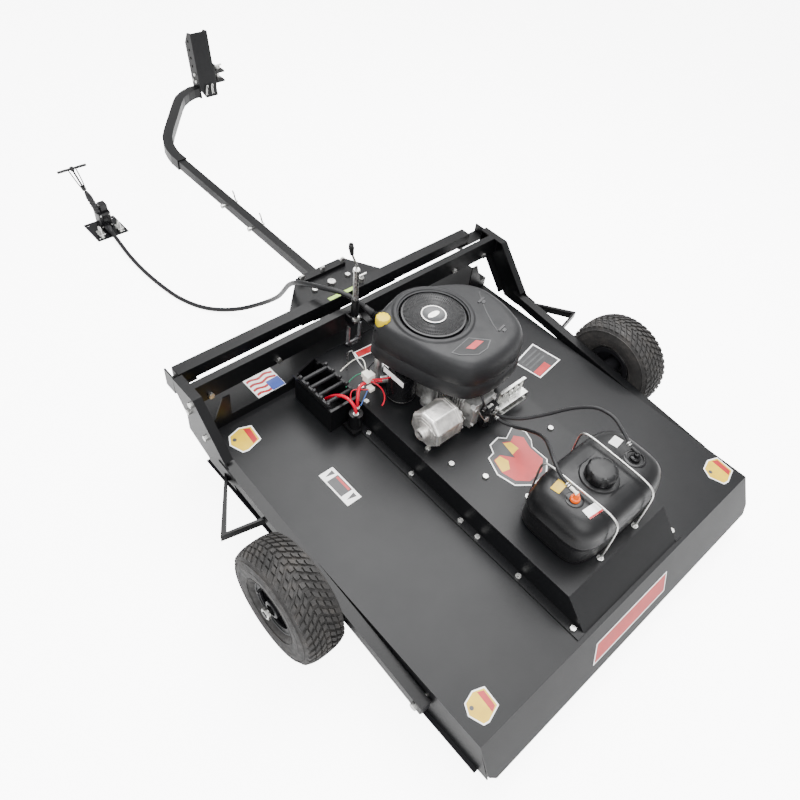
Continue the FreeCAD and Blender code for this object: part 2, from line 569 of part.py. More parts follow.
def muffler():
    """Octagonal can lying across the machine, with an outlet in its outer end and a pipe to the rear cylinder."""
    corners = []
    for k in range(9):
        turn = math.radians(22.5 + 45 * k)
        corners.append(V(0, MUFFLER_R * math.cos(turn), MUFFLER_R * math.sin(turn)))
    can = Part.Face(Part.makePolygon(corners)).extrude(V(-MUFFLER_LENGTH, 0, 0))
    can = can.makeFillet(9, can.Edges)
    outlet = Part.makeCylinder(17, 20, V(-MUFFLER_LENGTH + 2, 0, -8), V(-1, 0, 0))
    outlet = outlet.cut(Part.makeCylinder(13, 24, V(-MUFFLER_LENGTH - 5, 0, -8), V(-1, 0, 0)))
    pipe = Part.makeCylinder(13, 22, V(0, -16, 0), V(1, 0, 0))
    shape = join([can, outlet, pipe])
    shape.translate(V(MUFFLER_X, MUFFLER_Y, MUFFLER_Z))
    return shape


def starter_can():
    x, y = -93, 838
    return join([upright(x, y, 108, 200, 44), upright(x, y, 98, 108, 34), upright(x, y, PLATFORM_TOP, 98, 20)])


def air_intake():
    """Carburettor and its bowl behind the rear cylinder."""
    body = box(2, 590, 112, 60, 625.5, 166)
    bowl = upright(28, 606, 94, 113, 20)
    throat = rod((59, 608, 146), (66, 608, 146), 15)
    return join([body, bowl, throat])


def heat_shield():
    """Folded bracket beside the carburettor: a shelf, a rear lip and a stepped back plate."""
    shelf = box(67, 588, 132, 194, 616, 135)
    lip = box(67, 588, 104, 194, 591, 135)
    back = box(84, 613, 132, 194, 616, 178)
    shield = join([shelf, lip, back])
    for k in range(4):
        shield = shield.cut(box(94 + 25 * k, 611, 144, 106 + 25 * k, 618, 168))
    return shield


def fuel_hoses():
    feed = [(52, 588.6, 120), (54, 562, 118), (66, 526, 122), (70, 486, 144), (52, 440, 186), (14, 398, 232),
            (-30, 360, 268), (-64, 322, 282), (-80, 286, 275), (-82, 252.8, 266.6)]
    vent = [(36, 588.6, 150), (40, 560, 154), (62, 516, 168), (104, 470, 200), (150, 420, 246), (176, 368, 280),
            (176, 312, 290), (162, 268, 280), (150.6, 233.0, 266.8)]
    return [tube_along(points, 5.0)[0] for points in (feed, vent)]


def battery_tray():
    tray = box(-303, 905, 0.5, -206, 1080, 100)
    tray = tray.cut(box(-300, 908, 4, -209, 1077, 101))
    lip = box(-308, 900, 97, -203.5, 1085, 100).cut(box(-300, 908, 96, -209, 1077, 101))
    tray = join([tray, lip])
    return tray.cut(box(-290, 1070, 55, -219, 1090, 101))


def solenoid():
    body = rod((-236, 872, 20), (-236, 872, 74), 21)
    foot = box(-262, 846, SHEET + 0.5, -230, 898, 20)
    posts = [rod((-246, 862, 74), (-246, 862, 90), 4), rod((-226, 880, 74), (-226, 880, 90), 4)]
    return join([body, foot] + posts)


def battery_cables():
    long_lead = [(-246, 862, 91), (-247, 864, 112), (-250, 884, 128), (-254, 912, 126), (-260, 940, 108),
                 (-264, 962, 84), (-266, 978, 60)]
    short_lead = [(-226, 880, 91), (-225, 882, 112), (-214, 896, 132), (-190, 910, 140), (-160, 900, 140),
                  (-134, 880, 142)]
    return [tube_along(points, 5.0)[0] for points in (long_lead, short_lead)]


# ---------------------------------------------------------------- blade drive

def belt_loop(crank_radius, blade_radius, z0, z1):
    """Solid bounded by the open belt line round both pulleys, at the two given radii."""
    a = V(CRANK_X, CRANK_Y, z0)
    b = V(SPINDLE_X, SPINDLE_Y, z0)
    line = b - a
    heading = math.atan2(line.y, line.x)
    lean = math.acos((crank_radius - blade_radius) / line.Length)
    corners = []
    for centre, radius in ((a, crank_radius), (b, blade_radius)):
        for sign in (1, -1):
            turn = heading + sign * lean
            corners.append(centre + V(math.cos(turn), math.sin(turn), 0) * radius)
    waist = Part.Face(Part.makePolygon([corners[0], corners[2], corners[3], corners[1], corners[0]]))
    loop = waist.extrude(V(0, 0, z1 - z0))
    return join([loop, upright(a.x, a.y, z0, z1, crank_radius), upright(b.x, b.y, z0, z1, blade_radius)])


def drive_belt():
    rest = GROOVE_DEPTH - 0.4
    outer = belt_loop(ENGINE_PULLEY_R - rest + 8, BLADE_PULLEY_R - rest + 8, 36, 48)
    inner = belt_loop(ENGINE_PULLEY_R - rest, BLADE_PULLEY_R - rest, 35, 49)
    return outer.cut(inner)


def pulley(x, y, radius, bore):
    wheel = upright(x, y, PULLEY_Z0, PULLEY_Z1, radius)
    groove = upright(x, y, PULLEY_Z0 + 5.6, PULLEY_Z1 - 5.6, radius + 1)
    groove = groove.cut(upright(x, y, PULLEY_Z0, PULLEY_Z1, radius - GROOVE_DEPTH))
    return wheel.cut(groove).cut(upright(x, y, PULLEY_Z0 - 1, PULLEY_Z1 + 1, bore))


def crankshaft():
    """Crankshaft and flywheel fan on one axis."""
    shaft = upright(CRANK_X, CRANK_Y, 14, 330, CRANK_R)
    fan = upright(CRANK_X, CRANK_Y, 222, 262, 84)
    return join([shaft, fan])


def engine_screen():
    dish = upright(CRANK_X, CRANK_Y, 332, 349, SCREEN_R)
    dish = dish.makeFillet(6, [e for e in dish.Edges if e.BoundBox.ZMin > 348.9])
    return dish.cut(upright(CRANK_X, CRANK_Y, 331, 343, SCREEN_R - 4))


def blade():
    half = BLADE_LENGTH / 2
    bar = box(-half, -BLADE_WIDTH / 2, 0, half, BLADE_WIDTH / 2, BLADE_THICK)
    wings = []
    for side in (-1, 1):
        wing = side_prism([(-38, 0), (-38, BLADE_THICK), (-52, 26), (-58, 26)], -90, 0)
        wing.translate(V(half, 0, 0))
        if side < 0:
            wing.rotate(V(0, 0, 0), V(0, 0, 1), 180)
        wings.append(wing)
    shape = join([bar] + wings)
    tips = upright(0, 0, -40, 60, half)
    shape = shape.common(tips)
    shape.translate(V(SPINDLE_X, SPINDLE_Y, BLADE_Z))
    return shape.cut(upright(SPINDLE_X, SPINDLE_Y, -120, 0, SPINDLE_R))


def blade_spindle():
    shaft = upright(SPINDLE_X, SPINDLE_Y, -100, 60, SPINDLE_R)
    nut = upright(SPINDLE_X, SPINDLE_Y, -106, BLADE_Z - 0.2, 22)
    collar = upright(SPINDLE_X, SPINDLE_Y, BLADE_Z + BLADE_THICK, -72, 30)
    return join([shaft, nut, collar])


def spindle_housing():
    tube = upright(SPINDLE_X, SPINDLE_Y, -66, 22, 42)
    flange = upright(SPINDLE_X, SPINDLE_Y, 0, 8, 78)
    housing = join([tube, flange])
    return housing.cut(upright(SPINDLE_X, SPINDLE_Y, -70, 30, SPINDLE_R + RUN_FIT))


# ---------------------------------------------------------------- lift lever

def lever_point(z):
    rise = z - LEVER_Z
    return (LEVER_X - rise * LEVER_SIDE_LEAN, LEVER_Y + 2 - rise * LEVER_LEAN, z)


def lift_lever():
    heel = across(LEVER_X - 12, LEVER_X + 12, LEVER_Y, LEVER_Z, 12)
    socket = rod(lever_point(LEVER_Z), lever_point(264), 11)
    tube = socket.fuse(rod(lever_point(262), lever_point(LEVER_TUBE_TOP), 9))
    tube = tube.cut(rod(lever_point(LEVER_Z + 40), lever_point(LEVER_TUBE_TOP + 5), 3.46))
    return join([heel, tube]).cut(across(LEVER_X - 14, LEVER_X + 14, LEVER_Y, LEVER_Z, 5 + RUN_FIT))


def lever_grip():
    """Release rod in the lever's tube, bent aside above it, with a small forked grip."""
    lower, upper = V(*lever_point(300)), V(*lever_point(LEVER_TUBE_TOP + 14))
    knee, top = V(-94, 1093, 449), V(-101, 1092, 486)
    rods = [rod(lower, upper, 3.4), rod(upper, knee, 3.4)]
    rods.append(Part.makeSphere(3.4, upper))
    along = top - knee
    grip = Part.makeCone(5.5, 9, along.Length, knee, along)
    notch = box(-104, 1080, 478, -100, 1104, 492)
    return join(rods + [grip.cut(notch)])


# ---------------------------------------------------------------- towing gear

def square_tube(points, half, wall):
    """Square tube on a flat route in plan, with mitred bends."""
    def solid(half_width):
        left = []
        right = []
        for index, (x, y) in enumerate(points):
            before = points[max(index - 1, 0)]
            after = points[min(index + 1, len(points) - 1)]
            first = V(x - before[0], y - before[1], 0) if index else V(after[0] - x, after[1] - y, 0)
            second = V(after[0] - x, after[1] - y, 0) if index < len(points) - 1 else first
            first.normalize()
            second.normalize()
            middle = (first + second).normalize()
            normal = V(-middle.y, middle.x, 0) * (half_width / middle.dot(first))
            left.append((x + normal.x, y + normal.y))
            right.append((x - normal.x, y - normal.y))
        return plan_prism(left + right[::-1], TONGUE_Z - half_width, TONGUE_Z + half_width)
    return solid(half).cut(solid(half - wall))


def tongue_tube():
    tube = square_tube([(TONGUE_X, TONGUE_REAR), (TONGUE_X, TONGUE_FRONT)], TONGUE_HALF, 3.0)
    low, high = TONGUE_Z - TONGUE_SEAT + 0.3, TONGUE_Z + TONGUE_SEAT + 0.2
    pads = [box(TONGUE_X - 16, TONGUE_REAR, low, TONGUE_X + 16, 1376, TONGUE_Z - TONGUE_HALF),
            box(TONGUE_X - 16, TONGUE_REAR, TONGUE_Z + TONGUE_HALF, TONGUE_X + 16, 1376, high)]
    tube = join([tube] + pads).cut(upright(TONGUE_X, SWING_Y, 90, 170, 8.0))
    for y in PIN_YS:
        tube = tube.cut(across(-40, 60, y, TONGUE_Z, 5.06))
    return tube


def tongue_pins():
    """Two pins through the tongue, each with a head and a hairpin clip."""
    pins = []
    for y in PIN_YS:
        pin = across(TONGUE_X - 30, TONGUE_X + 34, y, TONGUE_Z, 5.0)
        head = across(TONGUE_X - 34, TONGUE_X - 30, y, TONGUE_Z, 8)
        pins.append(join([pin, head]))
    return group(pins)


def neck():
    route = [(TONGUE_X, NECK_REAR), (TONGUE_X, 2280), (TONGUE_X + 6, 2320), (26, 2364), (50, 2414), (86, 2464),
             (232, 2646), (264, 2680), (304, 2706), (348, 2722), (POST_X0 - 0.3, 2722)]
    return square_tube(route, NECK_HALF, 3.2)


def hitch_post():
    """Upright channel leaning forward, web to the rear, with a row of holes in each flange."""
    low, rear = POST_Z0, POST_Y - 8
    outer = box(POST_X0, rear, low, POST_X1, rear + POST_DEPTH, POST_Z1)
    inner = box(POST_X0 + 6, rear + 6, low - 1, POST_X1 - 6, rear + POST_DEPTH + 1, POST_Z1 + 1)
    post = outer.cut(inner)
    cut = side_prism([(rear + 28, POST_Z1 + 1), (rear + POST_DEPTH, POST_Z1 + 1), (rear + POST_DEPTH, POST_Z1 - 42)],
                     POST_X0 - 1, POST_X1 + 1)
    corner = front_prism([(POST_X0 - 1, low - 1), (POST_X0 + 26, low - 1), (POST_X0 - 1, low + 40)], rear - 1, rear + 7)
    post = post.cut(cut).cut(corner)
    for k in range(6):
        post = post.cut(across(POST_X0 - 1, POST_X1 + 1, rear + 32, low + 66 + 33 * k, 6.0))
    post.rotate(V(POST_X0, rear, low), V(1, 0, 0), -POST_LEAN)
    return post


def hitch_clevis():
    """Two ears and a back plate bolted to the post's outer flange."""
    y0, y1 = CLEVIS_PIN_Y - 28, CLEVIS_PIN_Y + 28
    ears = []
    for z in (EAR_LOW, EAR_HIGH):
        ears.append(box(POST_X1 + 8, y0, z, CLEVIS_PIN_X + 20, y1, z + 8))
    back = box(POST_X1 + 0.4, y0, EAR_LOW - 13, POST_X1 + 9, y1, EAR_HIGH + 41)
    return join([back] + ears).cut(upright(CLEVIS_PIN_X, CLEVIS_PIN_Y, EAR_LOW - 6, EAR_HIGH + 14, 8.1))


def hitch_pin():
    shank = upright(CLEVIS_PIN_X, CLEVIS_PIN_Y, EAR_LOW - 9, EAR_HIGH + 20, 8.0)
    head = upright(CLEVIS_PIN_X, CLEVIS_PIN_Y, EAR_HIGH + 8.4, EAR_HIGH + 16, 14)
    handle = across(CLEVIS_PIN_X - 22, CLEVIS_PIN_X + 22, CLEVIS_PIN_Y, EAR_HIGH + 22, 4)
    return join([shank, head, handle])


# ---------------------------------------------------------------- remote control and its cable

def control_plate():
    low = -DECK_HEIGHT
    plate = box(CONTROL_X - 66, CONTROL_Y - 66, low, CONTROL_X + 66, CONTROL_Y + 66, low + 5)
    for sx in (-1, 1):
        for sy in (-1, 1):
            plate = plate.cut(upright(CONTROL_X + sx * 52, CONTROL_Y + sy * 52, low - 1, low + 6, 4.5))
    return plate


def pull_point(length):
    """A point on the pull rod's leaning axis."""
    return V(*PULL_FOOT) + V(*PULL_AXIS) * length


def control_box():
    """Bracket block on the base plate, the leaning sleeve of the pull rod and the cable's boot."""
    low = 5 - DECK_HEIGHT
    body = box(CONTROL_X - 20, CONTROL_Y - 8, low, CONTROL_X + 30, CONTROL_Y + 44, low + 74)
    body = body.makeFillet(5, [e for e in body.Edges if abs(e.tangentAt(0.5).z) > 0.9])
    tower = box(CONTROL_X - 2, CONTROL_Y + 2, low, CONTROL_X + 26, CONTROL_Y + 36, low + 104)
    sleeve = rod(pull_point(-34), pull_point(70), 11)
    boot_start = V(*CABLE_POINTS[0])
    boot = Part.makeCylinder(12, 26, boot_start, boot_start - V(*CABLE_POINTS[1]))
    shape = join([body, tower, sleeve, boot])
    shape = shape.cut(rod(pull_point(-20), pull_point(74), PULL_R + RUN_FIT))
    return shape.cut(box(CONTROL_X - 6, CONTROL_Y - 9, low + 36, CONTROL_X + 16, CONTROL_Y, low + 62))


def pull_handle():
    """Pull rod in the leaning sleeve, with a thin crossbar."""
    top = pull_point(PULL_LENGTH)
    bar = across(top.x - 57, top.x + 57, top.y, top.z, 4.6)
    return join([rod(pull_point(6), top, PULL_R), bar])


def stop_switch():
    low = 5 - DECK_HEIGHT
    rocker = side_prism([(CONTROL_Y - 12, low + 39), (CONTROL_Y - 8, low + 49), (CONTROL_Y - 12, low + 59),
                         (CONTROL_Y - 3, low + 59), (CONTROL_Y - 3, low + 39)], CONTROL_X - 4, CONTROL_X + 14)
    return rocker


CABLE_POINTS = [(-264, 2425, -178), (-268, 2350, -184), (-279, 2240, -187), (-281, 2120, -188.5),
                (-272, 2000, -188.5), (-254, 1885, -188.5), (-206, 1780, -188.5), (-124, 1700, -178),
                (-56, 1624, -126), (-44, 1536, -40), (-76, 1454, 60), (-106, 1378, 158), (-122, 1304, 222),
                (-92, 1212, 246), (-46, 1142, 246), (-8, 1088, 196)]


def control_cable():
    solid, path, radii = tube_along(CABLE_POINTS, CABLE_D / 2)
    ideal = math.pi * (CABLE_D / 2) ** 2 * path.Length
    print("cable length %.0f, radii %s" % (path.Length, [round(r) for r in radii]))
    print("cable volume against section x length: %.4f" % (solid.Volume / ideal))
    return solid


# ---------------------------------------------------------------- assembly

NODES = {}


def add(name, shape):
    NODES[name] = shape


def add_pair(name, shape):
    NODES["right_" + name] = shape
    NODES["left_" + name] = mirrored(shape)


add_pair("rail", right_rail())
add_pair("arm", right_arm())
add("inner_crossbar", inner_crossbar())
add("outer_crossbar", outer_crossbar())
add("bar_end_brackets", bar_end_brackets())
add("hitch_plates", hitch_plates())
add("stand_leg", stand_leg())
add("stub_axles", group([right_spindle(), mirrored(right_spindle())]))
add("wheel_guards", group([right_guard(), mirrored(right_guard())]))
add("frame_bolts", frame_bolts())
add("lift_bracket", lift_bracket())
add("cable_gland", cable_gland())
add_pair("tyre", right_tyre())
add_pair("rim", right_rim())
add("deck_shell", deck_shell())
add("apron", apron())
add("engine_platform", engine_platform())
add("deck_bolts", deck_bolts())
add("deck_pivot_pins", deck_pivot_pins())
add("lift_links", lift_links())
add("fuel_tank", fuel_tank())
add("tank_straps", tank_straps())
add("tank_fittings", tank_fittings())
add("fuel_cap", fuel_cap())
add("engine_block", engine_block())
add("engine_cover", engine_cover())
add("muffler", muffler())
add("starter_can", starter_can())
add("air_intake", air_intake())
add("heat_shield", heat_shield())
add("fuel_hoses", group(fuel_hoses()))
add("battery_tray", battery_tray())
add("solenoid", solenoid())
add("battery_cables", group(battery_cables()))
add("oil_cap", upright(FILLER_X, FILLER_Y, 320.5, 356, 22))
add("drive_belt", drive_belt())
add("spindle_housing", spindle_housing())
add("crankshaft", crankshaft())
add("engine_screen", engine_screen())
add("engine_pulley", pulley(CRANK_X, CRANK_Y, ENGINE_PULLEY_R, CRANK_R))
add("blade_spindle", blade_spindle())
add("blade_pulley", pulley(SPINDLE_X, SPINDLE_Y, BLADE_PULLEY_R, SPINDLE_R))
add("blade", blade())
add("lift_lever", lift_lever())
add("lever_grip", lever_grip())
add("tongue_tube", tongue_tube())
add("tongue_pins", tongue_pins())
add("neck", neck())
add("hitch_post", hitch_post())
add("hitch_clevis", hitch_clevis())
add("hitch_pin", hitch_pin())
add("control_plate", control_plate())
add("control_box", control_box())
add("pull_handle", pull_handle())
add("stop_switch", stop_switch())
add("control_cable", control_cable())

body_box = FreeCAD.BoundBox()
for name, shape in NODES.items():
    if name != "control_cable":
        body_box.add(shape.BoundBox)
ORIGIN_SHIFT = V(-body_box.Center.x, -body_box.Center.y, DECK_HEIGHT)

print("%d nodes, origin shift %.3f %.3f %.3f" % (len(NODES), *ORIGIN_SHIFT))
for name, shape in NODES.items():
    placed = shape.copy()
    placed.translate(ORIGIN_SHIFT)
    solids = len(placed.Solids)
    if not placed.isValid() or not solids:
        print("check", name, "valid", placed.isValid(), "solids", solids)
    placed.exportStep("parts/%s.step" % name)
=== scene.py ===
import math
import random

import bmesh
import bpy
from mathutils import Matrix, Vector


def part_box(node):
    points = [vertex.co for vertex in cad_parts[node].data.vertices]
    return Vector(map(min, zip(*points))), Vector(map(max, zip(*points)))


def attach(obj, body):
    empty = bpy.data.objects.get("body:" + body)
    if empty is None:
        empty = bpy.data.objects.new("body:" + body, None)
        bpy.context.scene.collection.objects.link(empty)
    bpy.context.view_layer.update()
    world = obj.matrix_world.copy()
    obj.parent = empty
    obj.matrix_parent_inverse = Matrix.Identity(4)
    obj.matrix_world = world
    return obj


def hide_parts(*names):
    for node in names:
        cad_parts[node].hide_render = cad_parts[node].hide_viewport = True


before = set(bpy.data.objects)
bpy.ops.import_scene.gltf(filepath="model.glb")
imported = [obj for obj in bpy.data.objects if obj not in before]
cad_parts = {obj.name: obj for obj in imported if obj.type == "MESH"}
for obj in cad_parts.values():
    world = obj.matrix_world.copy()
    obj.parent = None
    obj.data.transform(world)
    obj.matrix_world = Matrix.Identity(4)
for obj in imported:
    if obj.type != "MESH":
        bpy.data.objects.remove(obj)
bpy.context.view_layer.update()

random.seed(7)
MM = 0.001

# The deck's top sheet sets the measuring frame: X from the centre line, Y from its rear edge and
# Z from its top.
DECK_LOW, DECK_HIGH = (Vector(c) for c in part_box("deck_shell"))
DECK_LENGTH = 1115
ORIGIN = Vector(((DECK_LOW.x + DECK_HIGH.x) / 2, DECK_HIGH.y - DECK_LENGTH * MM, DECK_HIGH.z))
GROUND = -ORIGIN.z / MM
PLATFORM_TOP, APRON_TOP = 83, 35


def at(x, y, z):
    """A point given in millimetres from the deck's rear edge, centre line and top sheet."""
    return ORIGIN + Vector((x, y, z)) * MM


# ------------------------------------------------------------------ camera

CAMERA_AT = (-1167.4, -113.5, 1658.2)
CAMERA_AZIMUTH, CAMERA_PITCH, CAMERA_ROLL = 48.5417, 47.9775, 8.6757
LENS = 31.836


def make_camera():
    az, el, roll = (math.radians(a) for a in (CAMERA_AZIMUTH, CAMERA_PITCH, CAMERA_ROLL))
    ahead = Vector((math.sin(az) * math.cos(el), math.cos(az) * math.cos(el), -math.sin(el)))
    level = Vector((math.cos(az), -math.sin(az), 0))
    overhead = level.cross(ahead)
    right = level * math.cos(roll) + overhead * math.sin(roll)
    up = overhead * math.cos(roll) - level * math.sin(roll)
    data = bpy.data.cameras.new("camera")
    data.lens = LENS
    data.sensor_width = 36
    camera = bpy.data.objects.new("camera", data)
    rotation = Matrix((right, up, -ahead)).transposed()
    camera.matrix_world = Matrix.Translation(at(*CAMERA_AT)) @ rotation.to_4x4()
    bpy.context.collection.objects.link(camera)
    bpy.context.scene.camera = camera


make_camera()


# ------------------------------------------------------------------ materials

class Nodes:
    """A small helper for wiring a procedural material."""
    def __init__(self, name, color, roughness, metallic=0.0):
        self.material = bpy.data.materials.new(name)
        self.material.use_nodes = True
        self.tree = self.material.node_tree
        self.shader = self.tree.nodes["Principled BSDF"]
        self.shader.inputs["Base Color"].default_value = (*color, 1)
        self.shader.inputs["Roughness"].default_value = roughness
        self.shader.inputs["Metallic"].default_value = metallic
        self.where = self.tree.nodes.new("ShaderNodeTexCoord").outputs["Object"]

    def link(self, out, into):
        self.tree.links.new(out, into)

    def noise(self, scale, detail=4, roughness=0.55, stretch=None):
        node = self.tree.nodes.new("ShaderNodeTexNoise")
        node.inputs["Scale"].default_value = scale
        node.inputs["Detail"].default_value = detail
        node.inputs["Roughness"].default_value = roughness
        source = self.where
        if stretch:
            mapping = self.tree.nodes.new("ShaderNodeMapping")
            mapping.inputs["Scale"].default_value = stretch
            self.link(self.where, mapping.inputs["Vector"])
            source = mapping.outputs["Vector"]
        self.link(source, node.inputs["Vector"])
        return node.outputs["Fac"]

    def ramp(self, factor, stops):
        node = self.tree.nodes.new("ShaderNodeValToRGB")
        ramp = node.color_ramp
        ramp.elements[0].position, ramp.elements[1].position = stops[0][0], stops[-1][0]
        ramp.elements[0].color, ramp.elements[1].color = (*stops[0][1], 1), (*stops[-1][1], 1)
        for place, color in stops[1:-1]:
            ramp.elements.new(place).color = (*color, 1)
        self.link(factor, node.inputs["Fac"])
        return node.outputs["Color"]

    def spread(self, factor, low, high, start=0.3, end=0.7):
        node = self.tree.nodes.new("ShaderNodeMapRange")
        node.inputs["From Min"].default_value = start
        node.inputs["From Max"].default_value = end
        node.inputs["To Min"].default_value = low
        node.inputs["To Max"].default_value = high
        self.link(factor, node.inputs["Value"])
        return node.outputs["Result"]

    def bump(self, height, strength, distance=0.001):
        node = self.tree.nodes.new("ShaderNodeBump")
        node.inputs["Strength"].default_value = strength
        node.inputs["Distance"].default_value = distance
        self.link(height, node.inputs["Height"])
        self.link(node.outputs["Normal"], self.shader.inputs["Normal"])

    def facing_up(self):
        geometry = self.tree.nodes.new("ShaderNodeNewGeometry")
        split = self.tree.nodes.new("ShaderNodeSeparateXYZ")
        self.link(geometry.outputs["Normal"], split.inputs[0])
        return split.outputs["Z"]


def shade(color, factor):
    return tuple(min(1.0, c * factor) for c in color)


def powder_coat(name, color, roughness=0.34):
    """Satin powder coat: faint cloudiness, a fine orange-peel and a thin film of dust on what faces up."""
    n = Nodes(name, color, roughness)
    n.shader.inputs["Specular IOR Level"].default_value = 0.22
    clouds = n.noise(4.0, 5)
    base = n.ramp(clouds, [(0.25, shade(color, 0.82)), (0.55, color), (0.8, shade(color, 1.22))])
    dust = n.tree.nodes.new("ShaderNodeMix")
    dust.data_type = "RGBA"
    dust.inputs["B"].default_value = (0.03, 0.029, 0.028, 1)
    amount = n.tree.nodes.new("ShaderNodeMath")
    amount.operation = "MULTIPLY"
    n.link(n.spread(n.noise(9.0, 6), 0.0, 0.10, 0.35, 0.85), amount.inputs[0])
    n.link(n.spread(n.facing_up(), 0.0, 1.0, 0.4, 1.0), amount.inputs[1])
    n.link(amount.outputs[0], dust.inputs["Factor"])
    n.link(base, dust.inputs["A"])
    n.link(dust.outputs["Result"], n.shader.inputs["Base Color"])
    n.link(n.spread(n.noise(14.0, 5), roughness, roughness + 0.025), n.shader.inputs["Roughness"])
    n.bump(n.noise(520.0, 2), 0.10, 0.0006)
    return n.material


def plated(name, color, roughness=0.28):
    """Zinc or bare steel: fine drawn lines and mottled brightness."""
    n = Nodes(name, color, roughness, 1.0)
    mottle = n.noise(70.0, 5)
    n.link(n.ramp(mottle, [(0.3, shade(color, 0.72)), (0.6, color), (0.8, shade(color, 1.15))]),
           n.shader.inputs["Base Color"])
    n.link(n.spread(n.noise(160.0, 3), roughness - 0.08, roughness + 0.14), n.shader.inputs["Roughness"])
    n.bump(n.noise(900.0, 2, stretch=(1, 1, 0.15)), 0.12, 0.0004)
    return n.material


def cast_metal(name, color, roughness=0.5):
    n = Nodes(name, color, roughness, 0.85)
    n.link(n.ramp(n.noise(45.0, 6), [(0.3, shade(color, 0.6)), (0.55, color), (0.8, shade(color, 1.2))]),
           n.shader.inputs["Base Color"])
    n.link(n.spread(n.noise(90.0, 4), roughness - 0.08, roughness + 0.15), n.shader.inputs["Roughness"])
    n.bump(n.noise(420.0, 4), 0.35, 0.0008)
    return n.material


def moulded(name, color, roughness=0.45, grain=700.0, strength=0.14):
    """Moulded plastic with a fine spark-eroded grain."""
    n = Nodes(name, color, roughness)
    n.shader.inputs["Specular IOR Level"].default_value = 0.32
    n.link(n.ramp(n.noise(11.0, 5), [(0.3, shade(color, 0.85)), (0.7, shade(color, 1.15))]),
           n.shader.inputs["Base Color"])
    n.link(n.spread(n.noise(30.0, 4), roughness - 0.05, roughness + 0.09), n.shader.inputs["Roughness"])
    n.bump(n.noise(grain, 3), strength, 0.0005)
    return n.material


def tyre_rubber():
    color = (0.017, 0.0158, 0.0152)
    n = Nodes("tyre_rubber", color, 0.74)
    dirt = n.noise(26.0, 7, 0.65)
    n.link(n.ramp(dirt,
                  [(0.32, (0.009, 0.0085, 0.0083)), (0.52, color), (0.68, (0.034, 0.030, 0.027)),
                   (0.82, (0.072, 0.063, 0.056))]), n.shader.inputs["Base Color"])
    n.link(n.spread(n.noise(60.0, 4), 0.62, 0.88), n.shader.inputs["Roughness"])
    n.bump(n.noise(300.0, 5), 0.4, 0.0008)
    return n.material


def printed(name, low, high, scale=30.0, roughness=0.38):
    """A printed film label: an even tint with slight ink variation."""
    n = Nodes(name, high, roughness)
    n.link(n.ramp(n.noise(scale, 3), [(0.35, low), (0.65, high)]), n.shader.inputs["Base Color"])
    n.bump(n.noise(500.0, 2), 0.05, 0.0003)
    return n.material


MAT = {
    "frame": powder_coat("frame_black_coat", (0.0032, 0.0033, 0.0038), 0.33),
    "deck": powder_coat("deck_coat", (0.0052, 0.0054, 0.0062), 0.36),
    "zinc": plated("zinc_plate", (0.66, 0.66, 0.64), 0.30),
    "steel": plated("ground_steel", (0.36, 0.36, 0.37), 0.34),
    "dull": plated("dulled_silver", (0.88, 0.86, 0.83), 0.42),
    "alloy": cast_metal("cast_alloy", (0.55, 0.55, 0.54), 0.40),
    "cover": moulded("cover_grain", (0.0085, 0.0087, 0.0097), 0.48, 620.0, 0.2),
    "tank": moulded("tank_plastic", (0.0036, 0.0037, 0.0043), 0.38, 260.0, 0.10),
    "black": moulded("gloss_black", (0.0045, 0.0045, 0.0052), 0.24, 500.0, 0.05),
    "grip": moulded("grip_rubber", (0.0070, 0.0070, 0.0075), 0.55, 500.0, 0.2),
    "hose": moulded("hose_rubber", (0.0075, 0.0075, 0.0085), 0.44, 380.0, 0.15),
    "cable": moulded("cable_jacket", (0.0060, 0.0060, 0.0068), 0.42, 420.0, 0.12),
    "belt": moulded("belt_rubber", (0.02, 0.02, 0.02), 0.7, 300.0, 0.3),
    "tyre": tyre_rubber(),
    "rim": powder_coat("rim_coat", (0.010, 0.010, 0.0115), 0.30),
    "yellow": moulded("cap_yellow", (0.64, 0.46, 0.0), 0.32, 500.0, 0.06),
    "orange": moulded("fitting_orange", (0.80, 0.11, 0.002), 0.34, 500.0, 0.06),
    "red": moulded("lead_red", (0.50, 0.002, 0.022), 0.30, 500.0, 0.05),
    "white": moulded("connector_white", (0.78, 0.76, 0.68), 0.42, 500.0, 0.06),
    "blue": moulded("lead_blue", (0.05, 0.12, 0.38), 0.35, 500.0, 0.05),
    "green": moulded("lead_green", (0.03, 0.18, 0.10), 0.35, 500.0, 0.05),
    "film_white": printed("film_white", (0.80, 0.80, 0.79), (0.92, 0.92, 0.91)),
    "film_red": printed("film_red", (0.32, 0.001, 0.004), (0.40, 0.003, 0.007)),
    "film_yellow": printed("film_yellow", (0.58, 0.36, 0.0), (0.66, 0.44, 0.0)),
    "film_coral": printed("film_coral", (0.36, 0.003, 0.004), (0.44, 0.007, 0.007)),
    "film_black": printed("film_black", (0.008, 0.008, 0.009), (0.016, 0.016, 0.018)),
    "film_blue": printed("film_blue", (0.02, 0.05, 0.26), (0.04, 0.08, 0.34)),
    "film_green": printed("film_green", (0.30, 0.50, 0.06), (0.40, 0.60, 0.10)),
    "film_grey": printed("film_grey", (0.030, 0.031, 0.033), (0.045, 0.046, 0.048)),
}

